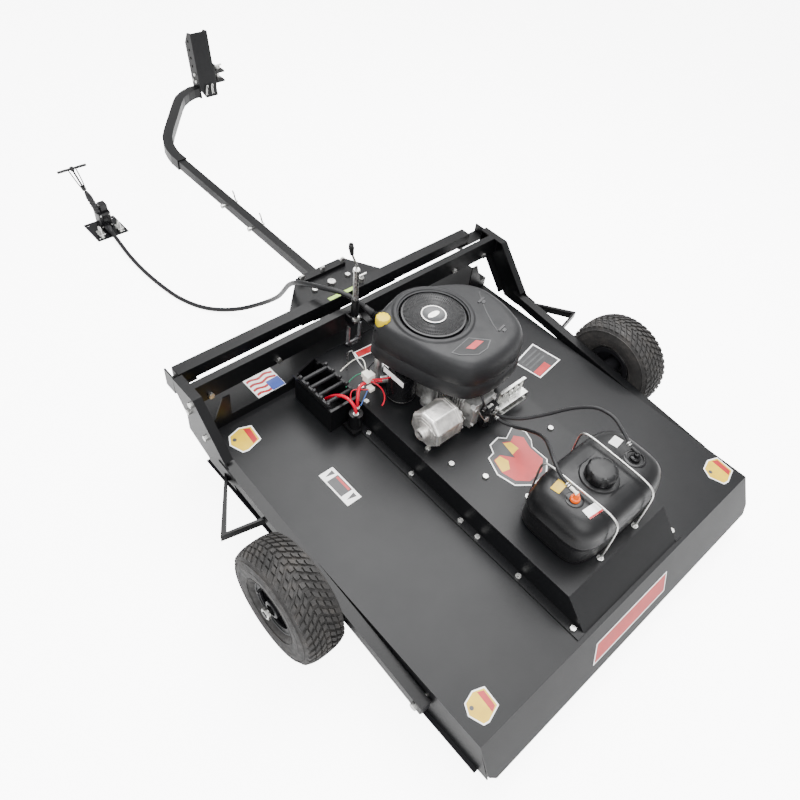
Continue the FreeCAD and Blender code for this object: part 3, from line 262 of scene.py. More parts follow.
NODE_LOOKS = {
    "frame": "right_rail left_rail right_arm left_arm inner_crossbar outer_crossbar bar_end_brackets "
             "hitch_plates stub_axles wheel_guards lift_bracket stand_leg apron tongue_tube neck hitch_post "
             "hitch_clevis battery_tray solenoid spindle_housing cable_gland",
    "deck": "deck_shell engine_platform control_plate",
    "zinc": "frame_bolts deck_bolts deck_pivot_pins tank_straps lift_lever tongue_pins hitch_pin "
            "heat_shield",
    "alloy": "engine_block",
    "dull": "muffler",
    "steel": "lift_links crankshaft engine_pulley blade_spindle blade_pulley blade",
    "cover": "engine_cover",
    "black": "starter_can engine_screen air_intake control_box",
    "tank": "fuel_tank fuel_cap",
    "grip": "lever_grip pull_handle stop_switch",
    "hose": "fuel_hoses",
    "belt": "drive_belt",
    "orange": "tank_fittings",
    "yellow": "oil_cap",
    "red": "battery_cables",
    "tyre": "left_tyre right_tyre",
    "rim": "left_rim right_rim",
    "cable": "control_cable",
}


def soften(piece, width, degrees):
    """A small rounding, in millimetres, on edges sharper than the angle."""
    edge = piece.modifiers.new("edge", "BEVEL")
    edge.width = width * MM
    edge.segments = 2
    edge.limit_method = "ANGLE"
    edge.angle_limit = math.radians(degrees)


def dress_frame():
    """Gives every CAD node its material, and softens the edges of the plates and tubes."""
    for look, names in NODE_LOOKS.items():
        for name in names.split():
            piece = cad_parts[name]
            piece.data.materials.clear()
            piece.data.materials.append(MAT[look])
            if look in ("frame", "deck", "black") and name != "spindle_housing":
                soften(piece, 1.4, 50)


# ------------------------------------------------------------------ making pieces

SLOT_OF = {"frame": "frame_black", "zinc": "zinc", "cover": "cover_black", "black": "cover_black",
           "tank": "tank_black", "grip": "grip_black", "hose": "hose_rubber", "cable": "cable_black",
           "yellow": "cap_yellow", "orange": "fitting_orange", "red": "lead_red", "white": "label_mix",
           "rim": "rim_steel", "tyre": "tyre_rubber"}


def finish_piece(piece, look, body, slot=None):
    """Gives a piece its material and the body it rides; a slot is worked out (by its look unless named) but
    not given to the piece.
    """
    piece.data.materials.append(MAT[look])
    bpy.context.collection.objects.link(piece)
    slot = slot or SLOT_OF.get(look, "label_mix")
    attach(piece, body)
    return piece


def mesh_piece(name, verts, faces, look, body, slot=None, smooth=35, bevel=0.0):
    """A mesh from points in the measuring frame, in millimetres."""
    mesh = bpy.data.meshes.new(name)
    mesh.from_pydata([at(*v) for v in verts], [], faces)
    tidy = bmesh.new()
    tidy.from_mesh(mesh)
    bmesh.ops.remove_doubles(tidy, verts=tidy.verts, dist=1e-5)
    bmesh.ops.recalc_face_normals(tidy, faces=tidy.faces)
    tidy.to_mesh(mesh)
    tidy.free()
    piece = bpy.data.objects.new(name, mesh)
    if bevel:
        soften(piece, bevel, 40)
    for face in mesh.polygons:
        face.use_smooth = True
    mesh.set_sharp_from_angle(angle=math.radians(smooth))
    return finish_piece(piece, look, body, slot)


def round_line(name, points, radius, order, roundness=4, fineness=8):
    """A line of round section through points in millimetres; order 0 keeps it straight between them."""
    curve = bpy.data.curves.new(name, "CURVE")
    curve.dimensions = "3D"
    curve.bevel_depth = radius * MM
    curve.bevel_resolution = roundness
    curve.resolution_u = fineness
    curve.use_fill_caps = True
    spline = curve.splines.new("NURBS" if order else "POLY")
    spline.points.add(len(points) - 1)
    for point, place in zip(spline.points, points):
        point.co = (*at(*place), 1)
    if order:
        spline.order_u = order
        spline.use_endpoint_u = True
    return bpy.data.objects.new(name, curve)


def tube_piece(name, points, radius, look, body, slot=None, bent=False):
    """A round lead, rod or wire through points in millimetres; bent keeps its corners."""
    line = round_line(name, points, radius, 0 if bent else min(4, len(points)))
    return finish_piece(line, look, body, slot)


BOX_FACES = [(3, 2, 1, 0), (4, 5, 6, 7), (0, 1, 5, 4), (1, 2, 6, 5), (2, 3, 7, 6), (3, 0, 4, 7)]


def ring_faces(rings, count):
    """Quads between successive rings of count points."""
    faces = []
    for low in range(0, (rings - 1) * count, count):
        for k in range(count):
            after = (k + 1) % count
            faces.append((low + k, low + after, low + count + after, low + count + k))
    return faces


def circle(cx, cy, radius, steps):
    """Points round a circle."""
    turns = [math.tau * k / steps for k in range(steps)]
    return [(cx + radius * math.cos(t), cy + radius * math.sin(t)) for t in turns]


def square_to(axis):
    """A unit axis and two directions square to it."""
    axis = Vector(axis).normalized()
    side = axis.orthogonal().normalized()
    return axis, side, axis.cross(side)


class Shape:
    """Collects closed forms so that several of them make one piece."""
    def __init__(self):
        self.verts = []
        self.faces = []

    def add(self, verts, faces):
        start = len(self.verts)
        self.verts += [tuple(v) for v in verts]
        self.faces += [tuple(i + start for i in f) for f in faces]

    def block(self, x0, y0, z0, x1, y1, z1):
        corners = [(x, y, z) for z in (z0, z1) for x, y in ((x0, y0), (x1, y0), (x1, y1), (x0, y1))]
        self.add(corners, BOX_FACES)

    def prism(self, outline, low, high, place):
        """outline in (u, v); place maps (u, v, w) to a point; low and high are the ends along w."""
        count = len(outline)
        verts = [place(u, v, low) for u, v in outline] + [place(u, v, high) for u, v in outline]
        sides = [(i, (i + 1) % count, count + (i + 1) % count, count + i) for i in range(count)]
        self.add(verts, sides + [tuple(range(count))[::-1], tuple(range(count, 2 * count))])

    def turned(self, profile, centre, axis=(0, 0, 1), steps=48, wobble=None, closed=True):
        """profile is (radius, height) along axis from centre."""
        axis, side, other = square_to(axis)
        centre = Vector(centre)
        verts = []
        for step in range(steps):
            turn = math.tau * step / steps
            for radius, height in profile:
                if wobble:
                    radius = wobble(radius, height, turn)
                verts.append(centre + axis * height
                             + (side * math.cos(turn) + other * math.sin(turn)) * radius)
        count = len(profile)
        faces = []
        for step in range(steps):
            here, there = step * count, ((step + 1) % steps) * count
            for k in range(count if closed else count - 1):
                after = (k + 1) % count
                faces.append((here + k, there + k, there + after, here + after))
        self.add(verts, faces)

    def hexagon(self, centre, axis, across, height):
        axis, side, other = square_to(axis)
        radius = across / math.sqrt(3)
        rings = []
        for grow, lift in ((1, 0), (1, height * 0.8), (0.86, height)):
            for k in range(6):
                turn = k * math.pi / 3
                point = Vector(centre) + axis * lift
                rings.append(point + (side * math.cos(turn) + other * math.sin(turn)) * radius * grow)
        self.add(rings, ring_faces(3, 6) + [tuple(range(6))[::-1], tuple(range(12, 18))])

    def piece(self, name, look, body, slot=None, **looks):
        return mesh_piece(name, self.verts, self.faces, look, body, slot, **looks)


def turned_piece(name, look, body, profile, centre, axis=(0, 0, 1), steps=48, wobble=None, closed=True,
                 **looks):
    """A piece made of one turned form."""
    shape = Shape()
    shape.turned(profile, centre, axis, steps, wobble, closed)
    return shape.piece(name, look, body, **looks)


def flat(u, v, w):
    return (u, v, w)


def label(name, outline, look, lift, z=0.0, place=flat):
    """A printed film on the deck: a thin slab with its face lift millimetres above z."""
    shape = Shape()
    shape.prism(outline, z + lift * 0.3, z + lift, place)
    return shape.piece(name, look, "deck", "label_mix", smooth=30)


# ------------------------------------------------------------------ control cable

CABLE_DIAMETER = 16
CABLE_POINTS = [(-264, 2425, -178), (-268, 2350, -184), (-279, 2240, -187), (-281, 2120, -188.5),
                (-272, 2000, -188.5), (-254, 1885, -188.5), (-206, 1780, -188.5), (-124, 1700, -178),
                (-56, 1624, -126), (-44, 1536, -40), (-76, 1454, 60), (-106, 1378, 158), (-122, 1304, 222),
                (-92, 1212, 246), (-46, 1142, 246), (-8, 1088, 196)]


def control_cable():
    line = round_line("cable_run", CABLE_POINTS, CABLE_DIAMETER / 2, 3, roundness=5, fineness=12)
    cable = finish_piece(line, "cable", "chassis")
    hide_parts("control_cable")


control_cable()


# ------------------------------------------------------------------ wheels

WHEEL_X, AXLE_Y, AXLE_Z = 704, 567, -28
TYRE_R, TREAD_DEPTH, TREAD_BLOCKS = 169, 6, 44


def crown_radius(x):
    """Radius of the tread face at a distance x from the tyre's middle."""
    return TYRE_R - 0.5 - 8.0 * (abs(x) / 52.0) ** 3


def wheel(side, name, body):
    centre = (side * WHEEL_X, AXLE_Y, AXLE_Z)
    shape = Shape()
    profile = [(77, -40), (82, -47), (88, -55), (100, -61), (114, -63), (130, -62.5), (143, -60),
               (152, -56), (158, -51)]
    profile += [(crown_radius(x) - TREAD_DEPTH, x) for x in (-46, -34, -20, -7, 7, 20, 34, 46)]
    profile += [(r, -x) for r, x in reversed(profile[:9])]
    shape.turned(profile, centre, (1, 0, 0), 72)
    rows = ((-47, 15, 0.0), (-31, 13, 0.5), (-15.5, 13, 0.0), (0, 13, 0.5), (15.5, 13, 0.0), (31, 13, 0.5),
            (47, 15, 0.0))
    for x, width, phase in rows:
        skew = 0.035 * (1 if x > 0 else -1 if x < 0 else 0)
        for k in range(TREAD_BLOCKS):
            turn = math.tau * (k + phase) / TREAD_BLOCKS
            half = 0.62 * math.pi / TREAD_BLOCKS
            verts = []
            for depth in (TREAD_DEPTH + 2, 0):
                for sx, st in ((-1, -1), (1, -1), (1, 1), (-1, 1)):
                    px = x + sx * (width / 2 - (0.8 if depth == 0 else 0))
                    angle = turn + st * half * (0.9 if depth == 0 else 1.0) + skew * sx
                    radius = crown_radius(px) - depth
                    y, z = centre[1] + radius * math.cos(angle), centre[2] + radius * math.sin(angle)
                    verts.append((centre[0] + px, y, z))
            shape.add(verts, BOX_FACES)
    for face_side in (-1, 1):
        for radius in (96, 124, 146):
            lip = 62.2 if radius == 124 else 60.4
            shape.turned([(radius - 1.6, face_side * (lip - 3)), (radius - 1, face_side * (lip + 1)),
                          (radius + 1, face_side * (lip + 1)), (radius + 1.6, face_side * (lip - 3))],
                         centre, (1, 0, 0), 72)
    tyre = shape.piece(name + "_tyre_tread", "tyre", body, smooth=40)
    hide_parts(name + "_tyre")
    rim = Shape()
    for face_side in (-1, 1):
        rim.turned([(74, face_side * 45), (77.5, face_side * 44), (79, face_side * 46.5),
                    (77, face_side * 48.5), (74, face_side * 47.5)], centre, (1, 0, 0), 72)
    rim.turned([(17, side * 48), (25, side * 48), (25, side * 52), (22, side * 54), (17, side * 54)],
               centre, (1, 0, 0), 40)
    rim.piece(name + "_rim_edges", "rim", body, smooth=40)
    valve = [(centre[0] + side * 34, centre[1] + 52, centre[2] + 30),
             (centre[0] + side * 44, centre[1] + 50, centre[2] + 29),
             (centre[0] + side * 60, centre[1] + 48, centre[2] + 28)]
    tube_piece(name + "_valve", valve, 4.0, "hose", body)


wheel(-1, "left", "left_wheel")
wheel(1, "right", "right_wheel")


# ------------------------------------------------------------------ engine

CRANK_X, CRANK_Y = 11, 851
CRANK = Vector((CRANK_X, CRANK_Y))
COVER_BASE, COVER_TOP = 222, 345
COVER_OUTLINE = [(-140, 935), (-62, 978), (25, 984), (110, 958), (190, 915), (234, 860), (242, 782),
                 (228, 708), (196, 654), (138, 624), (58, 612), (-8, 617), (-56, 640), (-96, 708),
                 (-122, 788), (-142, 866)]


def closed_curve(points, per_span):
    """A smooth closed line through points (Catmull-Rom)."""
    result = []
    count = len(points)
    for i in range(count):
        p0, p1, p2, p3 = (Vector(points[(i + k - 1) % count]) for k in range(4))
        for step in range(per_span):
            t = step / per_span
            result.append(0.5 * ((2 * p1) + (p2 - p0) * t + (2 * p0 - 5 * p1 + 4 * p2 - p3) * t * t
                                 + (3 * p1 - p0 - 3 * p2 + p3) * t ** 3))
    return result


def engine_cover():
    """Blower housing: a tapered shroud, soft at the shoulder, with a seam and a ring round the screen."""
    outline = closed_curve(COVER_OUTLINE, 8)
    levels = [(0.955, COVER_BASE + 4), (0.995, COVER_BASE), (1.0, COVER_BASE + 3), (0.996, 244),
              (0.990, 268), (0.984, 270), (0.984, 272.5), (0.988, 274), (0.982, 296), (0.968, 314),
              (0.948, 328), (0.915, 338), (0.87, 343.5), (0.82, COVER_TOP)]

    def drawn_in(point, scale):
        """Toward the crank, but never inside the raised ring."""
        away = point - CRANK
        ring = min(125 + 40 * (scale - 0.82), away.length * 0.985)
        return CRANK + away.normalized() * max(away.length * scale, ring)

    rings = [[(*drawn_in(p, scale), z) for p in outline] for scale, z in levels]
    angles = [math.atan2(p.y - CRANK.y, p.x - CRANK.x) for p in outline]
    raised_ring = ((122, 346.0), (118, 346.6), (116, 349.6), (113, 351), (106, 351), (104.5, 348),
                   (103, 347), (100.5, 346.5), (100, 330), (104, 318))
    for radius, z in raised_ring:
        rings.append([(CRANK.x + radius * math.cos(a), CRANK.y + radius * math.sin(a), z) for a in angles])
    verts = [v for ring in rings for v in ring]
    cover = mesh_piece("blower_housing", verts, ring_faces(len(rings), len(outline)), "cover", "deck",
                       smooth=62)
    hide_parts("engine_cover")
    details = Shape()
    crease = [(196, 846), (187, 838), (146, 772), (122, 723), (112, 694)]
    for (x0, y0), (x1, y1) in zip(crease, crease[1:]):
        details.prism([(x0 - 1.4, y0), (x0 + 1.4, y0), (x1 + 1.4, y1), (x1 - 1.4, y1)], 338, 346.1, flat)
    for x, y in ((170, 812), (130, 694)):
        details.prism([(x - 15, y - 3), (x + 15, y + 3), (x + 14, y + 9), (x - 16, y + 3)], 338, 348.0,
                      flat)
        details.prism([(x - 6, y - 13), (x + 8, y - 9), (x + 7, y), (x - 7, y - 4)], 338, 347.2, flat)
    details.piece("cover_seams", "film_black", "deck", "cover_black", smooth=30)
    badge = [(-56, 712), (24, 726), (70, 682), (38, 664), (0, 662), (-42, 690)]
    label("cover_badge_edge", badge, "film_grey", 0.7, z=COVER_TOP + 0.6)
    label("cover_badge_field", [(-52, 711), (23, 724), (65, 683), (37, 666.5), (1, 664.5), (-39, 691)],
          "cover", 0.95, z=COVER_TOP + 0.6)
    label("cover_badge_bar", [(-12, 700), (34, 706), (48, 690), (4, 684)], "film_red", 1.2, z=COVER_TOP
          + 0.6)


def engine_screen():
    """Rotating debris screen: a shallow dish of fine radial ribs round a grey hub with a bright edge."""
    centre = (CRANK_X, CRANK_Y, 0)
    dish = Shape()
    dish.turned([(94.5, 334), (94.5, 345), (93, 348), (88, 348.5), (84, 345), (60, 343.5), (38, 344),
                 (20, 344.5), (4, 344.5), (4, 334)], centre, steps=96)
    ribs = 96
    for k in range(ribs):
        turn = math.tau * k / ribs
        away = Vector((math.cos(turn), math.sin(turn)))
        across = Vector((-away.y, away.x)) * 0.9
        corners = []
        for z0, z1, radius, half in ((343, 346.4, 37, 0.8), (343, 348.2, 87, 1.3)):
            for z in (z0, z1):
                for sign in (-1, 1):
                    spot = CRANK + away * radius + across * sign * half
                    corners.append((spot.x, spot.y, z))
        dish.add(corners,
                 [(0, 1, 3, 2), (4, 6, 7, 5), (0, 4, 5, 1), (2, 3, 7, 6), (0, 2, 6, 4), (1, 5, 7, 3)])
    for radius in (52, 66, 78):
        dish.turned([(radius - 1, 343), (radius - 1, 346.2), (radius + 1, 346.2), (radius + 1, 343)],
                    centre, steps=96)
    screen = dish.piece("debris_screen", "black", "crank", smooth=40)
    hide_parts("engine_screen")
    turned_piece("screen_hub", "film_grey", "crank",
                 [(4, 344), (36, 344), (36, 348.2), (33.5, 349), (31.5, 347.4), (6, 347.4), (4, 347.4)],
                 centre, steps=72, slot="drive_steel", smooth=40)
    turned_piece("screen_hub_edge", "dull", "crank",
                 [(33.6, 348.4), (36.2, 347.6), (36.6, 348.9), (35, 349.6), (33.4, 349.2)], centre,
                 steps=72, slot="drive_steel", smooth=40)
    plate = Shape()
    turns = [math.tau * k / 20 + 0.3 for k in range(20)]
    oval = [(CRANK_X + 21 * math.cos(a), CRANK_Y + 9 * math.sin(a)) for a in turns]
    plate.prism(oval, 347.2, 348.3, flat)
    plate.piece("screen_hub_plate", "dull", "crank", "muffler_silver", smooth=40)


def fins(name, angle):
    """Cooling fins round one cylinder, with its rocker cover and bolts."""
    turn = math.radians(angle)
    away = Vector((math.cos(turn), math.sin(turn)))
    across = Vector((-away.y, away.x))

    def place(u, v, w):
        spot = CRANK + away * w + across * u
        return (spot.x, spot.y, v)
    shape = Shape()
    for k in range(12):
        along = 106 + 8.2 * k
        size = 53 if k < 7 else 57
        outline = [(-size, 100), (size, 100), (size, 184), (size - 8, 196), (-size + 8, 196), (-size, 184)]
        shape.prism(outline, along, along + 3.2, place)
    shape.prism([(-50, 104), (50, 104), (50, 182), (42, 192), (-42, 192), (-50, 182)], 225, 238, place)
    for u, v in ((-40, 114), (40, 114), (-40, 176), (40, 176)):
        shape.hexagon(place(u, v, 238), (away.x, away.y, 0), 9, 5)
    shape.piece(name, "alloy", "deck", "cast_alloy", smooth=30, bevel=0.5)


def plug_and_lead(name, start, route):
    turned_piece(name + "_plug", "black", "deck",
                 [(0.1, 0), (7, 0), (7, 8), (5, 10), (5, 26), (7.5, 28), (7.5, 44), (0.1, 46)], start,
                 (-0.5, -0.7, 0.5), 24, slot="hose_rubber", smooth=40)
    tube_piece(name + "_lead", route, 3.4, "hose", "deck")


def oil_filler():
    centre = (-118, 921, 0)

    def fluted(radius, height, turn):
        if radius < 18 or height < 330:
            return radius
        return radius + 0.9 * math.cos(10 * turn)
    piece = turned_piece("dipstick_cap", "yellow", "oil_filler_cap",
                         [(0.1, 322), (16, 322), (20, 329), (20.9, 335), (20.9, 349), (18.6, 354),
                          (11, 355.8), (0.1, 355.8)], centre, steps=64, wobble=fluted, closed=False,
                         smooth=50)
    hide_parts("oil_cap")
    turned_piece("dipstick_collar", "tank", "deck",
                 [(11, 296), (19, 298), (22.5, 306), (23, 318), (20, 320.2), (11, 320.2)], centre, steps=40,
                 smooth=50)


def starter_and_wiring():
    x, y = -93, 838
    can = Shape()
    can.turned([(0.1, 108.2), (40, 108.2), (44, 112), (44, 128), (44, 193), (41.5, 199.6), (0.1, 199.6)],
               (x, y, 0), steps=56, closed=False)
    can.turned([(42, 106), (45.4, 106), (45.4, 112), (42, 112)], (x, y, 0), steps=56)
    can.piece("starter_shell", "black", "deck", smooth=40)
    plate = Shape()
    plate.block(-139.4, 786, 188, -136.6, 878, 213)
    plate.block(-137, 826, 186, -128, 850, 192)
    plate.piece("starter_label_plate", "black", "deck", smooth=30, bevel=0.6)
    film = Shape()
    film.block(-140.0, 790, 191, -139.5, 874, 210)
    film.piece("starter_label", "film_white", "deck", smooth=30)
    turned_piece("starter_band", "zinc", "deck", [(40, 99), (43.5, 99), (43.5, 103), (40, 103)], (x, y, 0),
                 steps=56, smooth=40)
    plug = Shape()
    plug.block(-182, 892, 146, -152, 914, 170)
    plug.block(-178, 914, 150, -156, 926, 166)
    plug.block(-186, 872, 128, -168, 892, 140)
    plug.piece("wiring_connector", "white", "deck", bevel=1.2)
    runs = {"wire_red_a": ("red", 2.2,
                           [(-166, 890, 158), (-150, 868, 168), (-142, 846, 186), (-136, 838, 198)]),
            "wire_red_b": ("red", 2.2,
                           [(-172, 890, 156), (-158, 862, 150), (-150, 850, 128), (-156, 836, 108),
                            (-170, 834, 96)]),
            "wire_white": ("white", 1.6,
                           [(-160, 926, 160), (-142, 952, 172), (-130, 986, 158), (-150, 1010, 124),
                            (-180, 1016, 96)]),
            "wire_black": ("hose", 2.4,
                           [(-158, 926, 156), (-120, 948, 150), (-80, 968, 130), (-52, 966, 112)]),
            "wire_green": ("green", 1.6,
                           [(-166, 926, 156), (-176, 950, 140), (-196, 960, 112), (-214, 948, 104)]),
            "wire_blue": ("blue", 1.6,
                          [(-184, 884, 134), (-196, 880, 124), (-206, 876, 110), (-220, 872, 96)]),
            "wire_pink": ("red", 1.6,
                          [(-186, 880, 136), (-204, 902, 128), (-220, 918, 132), (-236, 906, 118),
                           (-240, 886, 96)])}
    for name, (look, radius, route) in runs.items():
        tube_piece(name, route, radius, look, "deck", "lead_red" if look == "red" else "hose_rubber")
    bracket = [(-150, 1020, 86), (-142, 1030, 140), (-150, 1004, 176), (-164, 962, 178), (-154, 936, 150),
               (-142, 920, 118)]
    tube_piece("throttle_wire_frame", bracket, 2.2, "zinc", "deck", bent=True)


def red_leads():
    long_lead = [(-246, 862, 91), (-247, 864, 112), (-250, 884, 128), (-254, 912, 126), (-260, 940, 108),
                 (-264, 962, 84), (-266, 978, 60)]
    short_lead = [(-226, 880, 91), (-225, 882, 112), (-214, 896, 132), (-190, 910, 140), (-160, 900, 140),
                  (-134, 880, 142)]
    leads = tube_piece("battery_lead_long", long_lead, 5.2, "red", "deck")
    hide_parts("battery_cables")
    tube_piece("battery_lead_short", short_lead, 5.2, "red", "deck")
    lugs = Shape()
    for x, y, z in ((-246, 862, 84), (-226, 880, 84)):
        lugs.turned([(4.2, z), (8, z), (8, z + 3), (4.2, z + 3)], (x, y, 0), steps=24)
        lugs.hexagon((x, y, z + 3), (0, 0, 1), 11, 5)
    lugs.block(-272, 975, 50, -260, 981, 62)
    lugs.piece("lead_lugs", "zinc", "deck", smooth=30)


def battery_holddown():
    """Ribbed hold-down frame clipped over the tray's two long walls, with its webbing."""
    frame_bar = Shape()
    for k in range(4):
        y = 932 + 38 * k
        frame_bar.turned([(0.1, -46), (5, -46), (6.4, -42), (6.4, 42), (5, 46), (0.1, 46)],
                         (-254.5, y, 106), (1, 0, 0), 24, closed=False)
    for x in (-302, -207):
        frame_bar.block(x - 4, 914, 100.4, x + 4, 1064, 110)
        for k in range(5):
            frame_bar.turned([(0.1, 0), (7, 0), (7, 5), (5, 9), (0.1, 10)], (x, 922 + 33 * k, 109),
                             (0, 0, 1), 24, closed=False)
    frame_bar.piece("battery_holddown", "hose", "deck", smooth=45, bevel=0.8)


MUFFLER_X, MUFFLER_Y, MUFFLER_Z = -64, 664, 145


def muffler_details():
    """Rolled rims, the stamped outer end with its boss, and a black disc in the outlet as painted shade of
    its bore.
    """
    def place(u, v, w):
        return (MUFFLER_X - w, MUFFLER_Y + u, MUFFLER_Z + v)

    def octagon(radius):
        turns = [math.radians(22.5 + 45 * k) for k in range(8)]
        return [(radius * math.cos(t), radius * math.sin(t)) for t in turns]
    shape = Shape()
    for along, thick in ((9, 3.2), (16, 3.2), (90, 3.0)):
        shape.prism(octagon(59.4), along, along + thick, place)
    shape.prism(octagon(44), 103.6, 105.4, place)
    shape.prism(octagon(34), 105.2, 107.0, place)
    shape.turned([(0.1, 0), (9, 0), (8.5, 3.4), (0.1, 4)], place(-24, 22, 106), (-1, 0, 0), 30,
                 closed=False)
    shape.turned([(13.2, 0), (17.6, 0), (17.6, 3), (18.4, 6), (18.4, 9), (13.2, 9)], place(0, -8, 112),
                 (-1, 0, 0), 40)
    shape.piece("muffler_seams", "dull", "deck", "muffler_silver", smooth=30, bevel=0.5)
    # A thin black disc set inside the outlet ring: painted shade where the bore would be dark.
    turned_piece("muffler_throat_painted_shade", "film_black", "deck", [(0.1, 0), (12.9, 0), (12.9, 1), (0.1, 1)],
                 place(0, -8, 113), (-1, 0, 0), 36, closed=False, slot="cover_black", smooth=40)
    bolts = Shape()
    for u in (-46, 14):
        for v in (-20, 20):
            bolts.hexagon(place(u, v, -1.5), (1, 0, 0), 9, 5)
    bolts.piece("muffler_bolts", "zinc", "deck", smooth=30)


def engine_details():
    engine_cover()
    engine_screen()
    fins("cylinder_fins_rear", -88)
    fins("cylinder_fins_right", -35)
    plug_and_lead("rear", (24, 626, 160), [(8, 606, 182), (-8, 600, 204), (0, 616, 222), (12, 650, 226)])
    oil_filler()
    starter_and_wiring()
    red_leads()
    muffler_details()
    battery_holddown()
    shield = Shape()
    for k in range(5):
        shield.block(88 + 25 * k, 609.4, 140, 90.4 + 25 * k, 613, 176)
    shield.block(84, 606, 176, 194, 616, 178.4)
    shield.block(67.4, 586.4, 104, 193.6, 588, 107)
    for x in (80, 180):
        shield.hexagon((x, 588, 120), (0, -1, 0), 8, 4)
    shield.piece("heat_shield_folds", "zinc", "deck", smooth=30, bevel=0.5)
    linkage = Shape()
    linkage.turned([(0.1, 0), (8, 0), (8, 3), (5, 4), (5, 9), (0.1, 9)], (48, 590, 158), (0, -1, 0), 28,
                   closed=False)
    linkage.turned([(0.1, 0), (11, 0), (11, 2), (8, 3), (0.1, 3)], (14, 590, 132), (0, -1, 0), 28,
                   closed=False)
    linkage.block(2, 598, 166, 44, 606, 168.4)
    linkage.hexagon((10, 602, 168.4), (0, 0, 1), 8, 4)
    linkage.hexagon((36, 602, 168.4), (0, 0, 1), 8, 4)
    linkage.piece("carburettor_linkage", "zinc", "deck", smooth=40, bevel=0.4)
    tube_piece("choke_rod", [(14, 584, 132), (-6, 580, 142), (-20, 590, 168), (-26, 606, 196)], 1.5, "zinc",
               "deck")
    turned_piece("bowl_drain_cap", "red", "deck", [(0.1, 0), (9, 0), (9.5, 4), (7, 8), (0.1, 10)],
                 (28, 606, 92.5), (0, -0.5, -0.86), 30, closed=False, smooth=50)
    label("front_label", [(-87, 1064), (-16, 1060), (-28, 1029), (-93, 1035)], "film_white", 0.5,
          z=PLATFORM_TOP)
    label("front_label_field", [(-84, 1061), (-20, 1057), (-31, 1032), (-89, 1038)], "film_red", 0.8,
          z=PLATFORM_TOP)


engine_details()


# ------------------------------------------------------------------ fuel tank

FUEL_CAP_X, FUEL_CAP_Y = 24, 230
TANK_X, TANK_Y, TANK_TOP = 39, 229, 240
OUTLET_X, OUTLET_Y = -82, 226
VENT_X, VENT_Y = 150, 206


def superellipse(cx, cy, half_x, half_y, power, steps):
    points = []
    for k in range(steps):
        turn = math.tau * k / steps
        c, s = math.cos(turn), math.sin(turn)
        points.append((cx + half_x * math.copysign(abs(c) ** (2 / power), c), cy
                       + half_y * math.copysign(abs(s) ** (2 / power), s)))
    return points


def fuel_tank():
    """Blow-moulded tank: tapered sides, soft shoulders, a pinch seam and a raised filler boss."""
    levels = [(165, 94, 84, 5.0), (178, 106.5, 88, 5.0), (184, 112, 100, 4.6), (185, 113, 150, 4.4),
              (185, 113, 162, 4.4), (187, 114.5, 164.5, 4.4), (187, 114.5, 167, 4.4),
              (185, 113, 169.5, 4.4), (183, 111.5, 195, 4.2), (178, 106.5, 216, 4.0), (167, 95.5, 230, 3.8),
              (150, 79, 237.5, 3.6), (124, 57, TANK_TOP - 0.5, 3.2)]
    steps = 96
    rings = [[(x, y, z) for x, y in superellipse(TANK_X, TANK_Y, hx, hy, power, steps)] for hx, hy, z,
             power in levels]
    for radius, z in ((54, TANK_TOP + 0.6), (51.5, TANK_TOP + 5), (46, TANK_TOP + 6), (33, TANK_TOP + 6.5),
                      (32, TANK_TOP + 24), (27, TANK_TOP + 25.5)):
        rings.append([(x, y, z) for x, y in circle(FUEL_CAP_X, FUEL_CAP_Y, radius, steps)])
    verts = [v for ring in rings for v in ring]
    last = (len(rings) - 1) * steps
    faces = ring_faces(len(rings), steps) + [tuple(range(steps))[::-1], tuple(range(last, last + steps))]
    tank = mesh_piece("tank_shell", verts, faces, "tank", "deck", smooth=50)
    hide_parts("fuel_tank")


def fuel_cap():
    """Large hand-turned cap with deep scallops round its skirt."""
    def scallop(radius, height, turn):
        if radius < 34.5 or height > 35.5 or height < 10.5:
            return radius
        return radius - 4.4 * max(0.0, math.cos(6 * turn)) ** 1.5
    piece = turned_piece("scalloped_cap", "tank", "fuel_filler_cap",
                         [(34.2, 9), (40.6, 9), (42, 11), (42, 28), (40, 33.4), (35, 36.6), (27, 37.6),
                          (15, 37.9), (0.1, 38), (0.1, 33.5), (34, 33)], (FUEL_CAP_X, FUEL_CAP_Y, TANK_TOP),
                         steps=96, wobble=scallop, smooth=55)
    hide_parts("fuel_cap")


def tank_straps():
    """Bent zinc rods over the tank, threaded at both feet."""
    first = None
    for index, x in enumerate((-54, 101)):
        lean = -4 if index == 0 else 3
        route = [(x, 107, 84), (x, 106, 130), (x, 106, 190), (x, 107, 222), (x, 116, 243), (x, 142, 251.5),
                 (x + lean * 0.4, 200, 252), (x + lean * 0.8, 270, 252), (x + lean, 320, 252),
                 (x + lean, 349, 246), (x + lean, 353, 214), (x + lean, 352, 150), (x + lean, 351, 84)]
        strap = tube_piece("tank_rod_%d" % index, route, 3.2, "zinc", "deck")
        first = first or strap
        nuts = Shape()
        for y in (107, 351):
            spot = (x if y < 200 else x + lean, y, 84)
            nuts.turned([(3.4, 0), (9, 0), (9, 1.6), (3.4, 1.6)], spot, steps=28)
            nuts.hexagon((spot[0], spot[1], 85.6), (0, 0, 1), 10, 6)
        nuts.piece("tank_rod_nuts_%d" % index, "zinc", "deck", smooth=30)
    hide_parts("tank_straps")


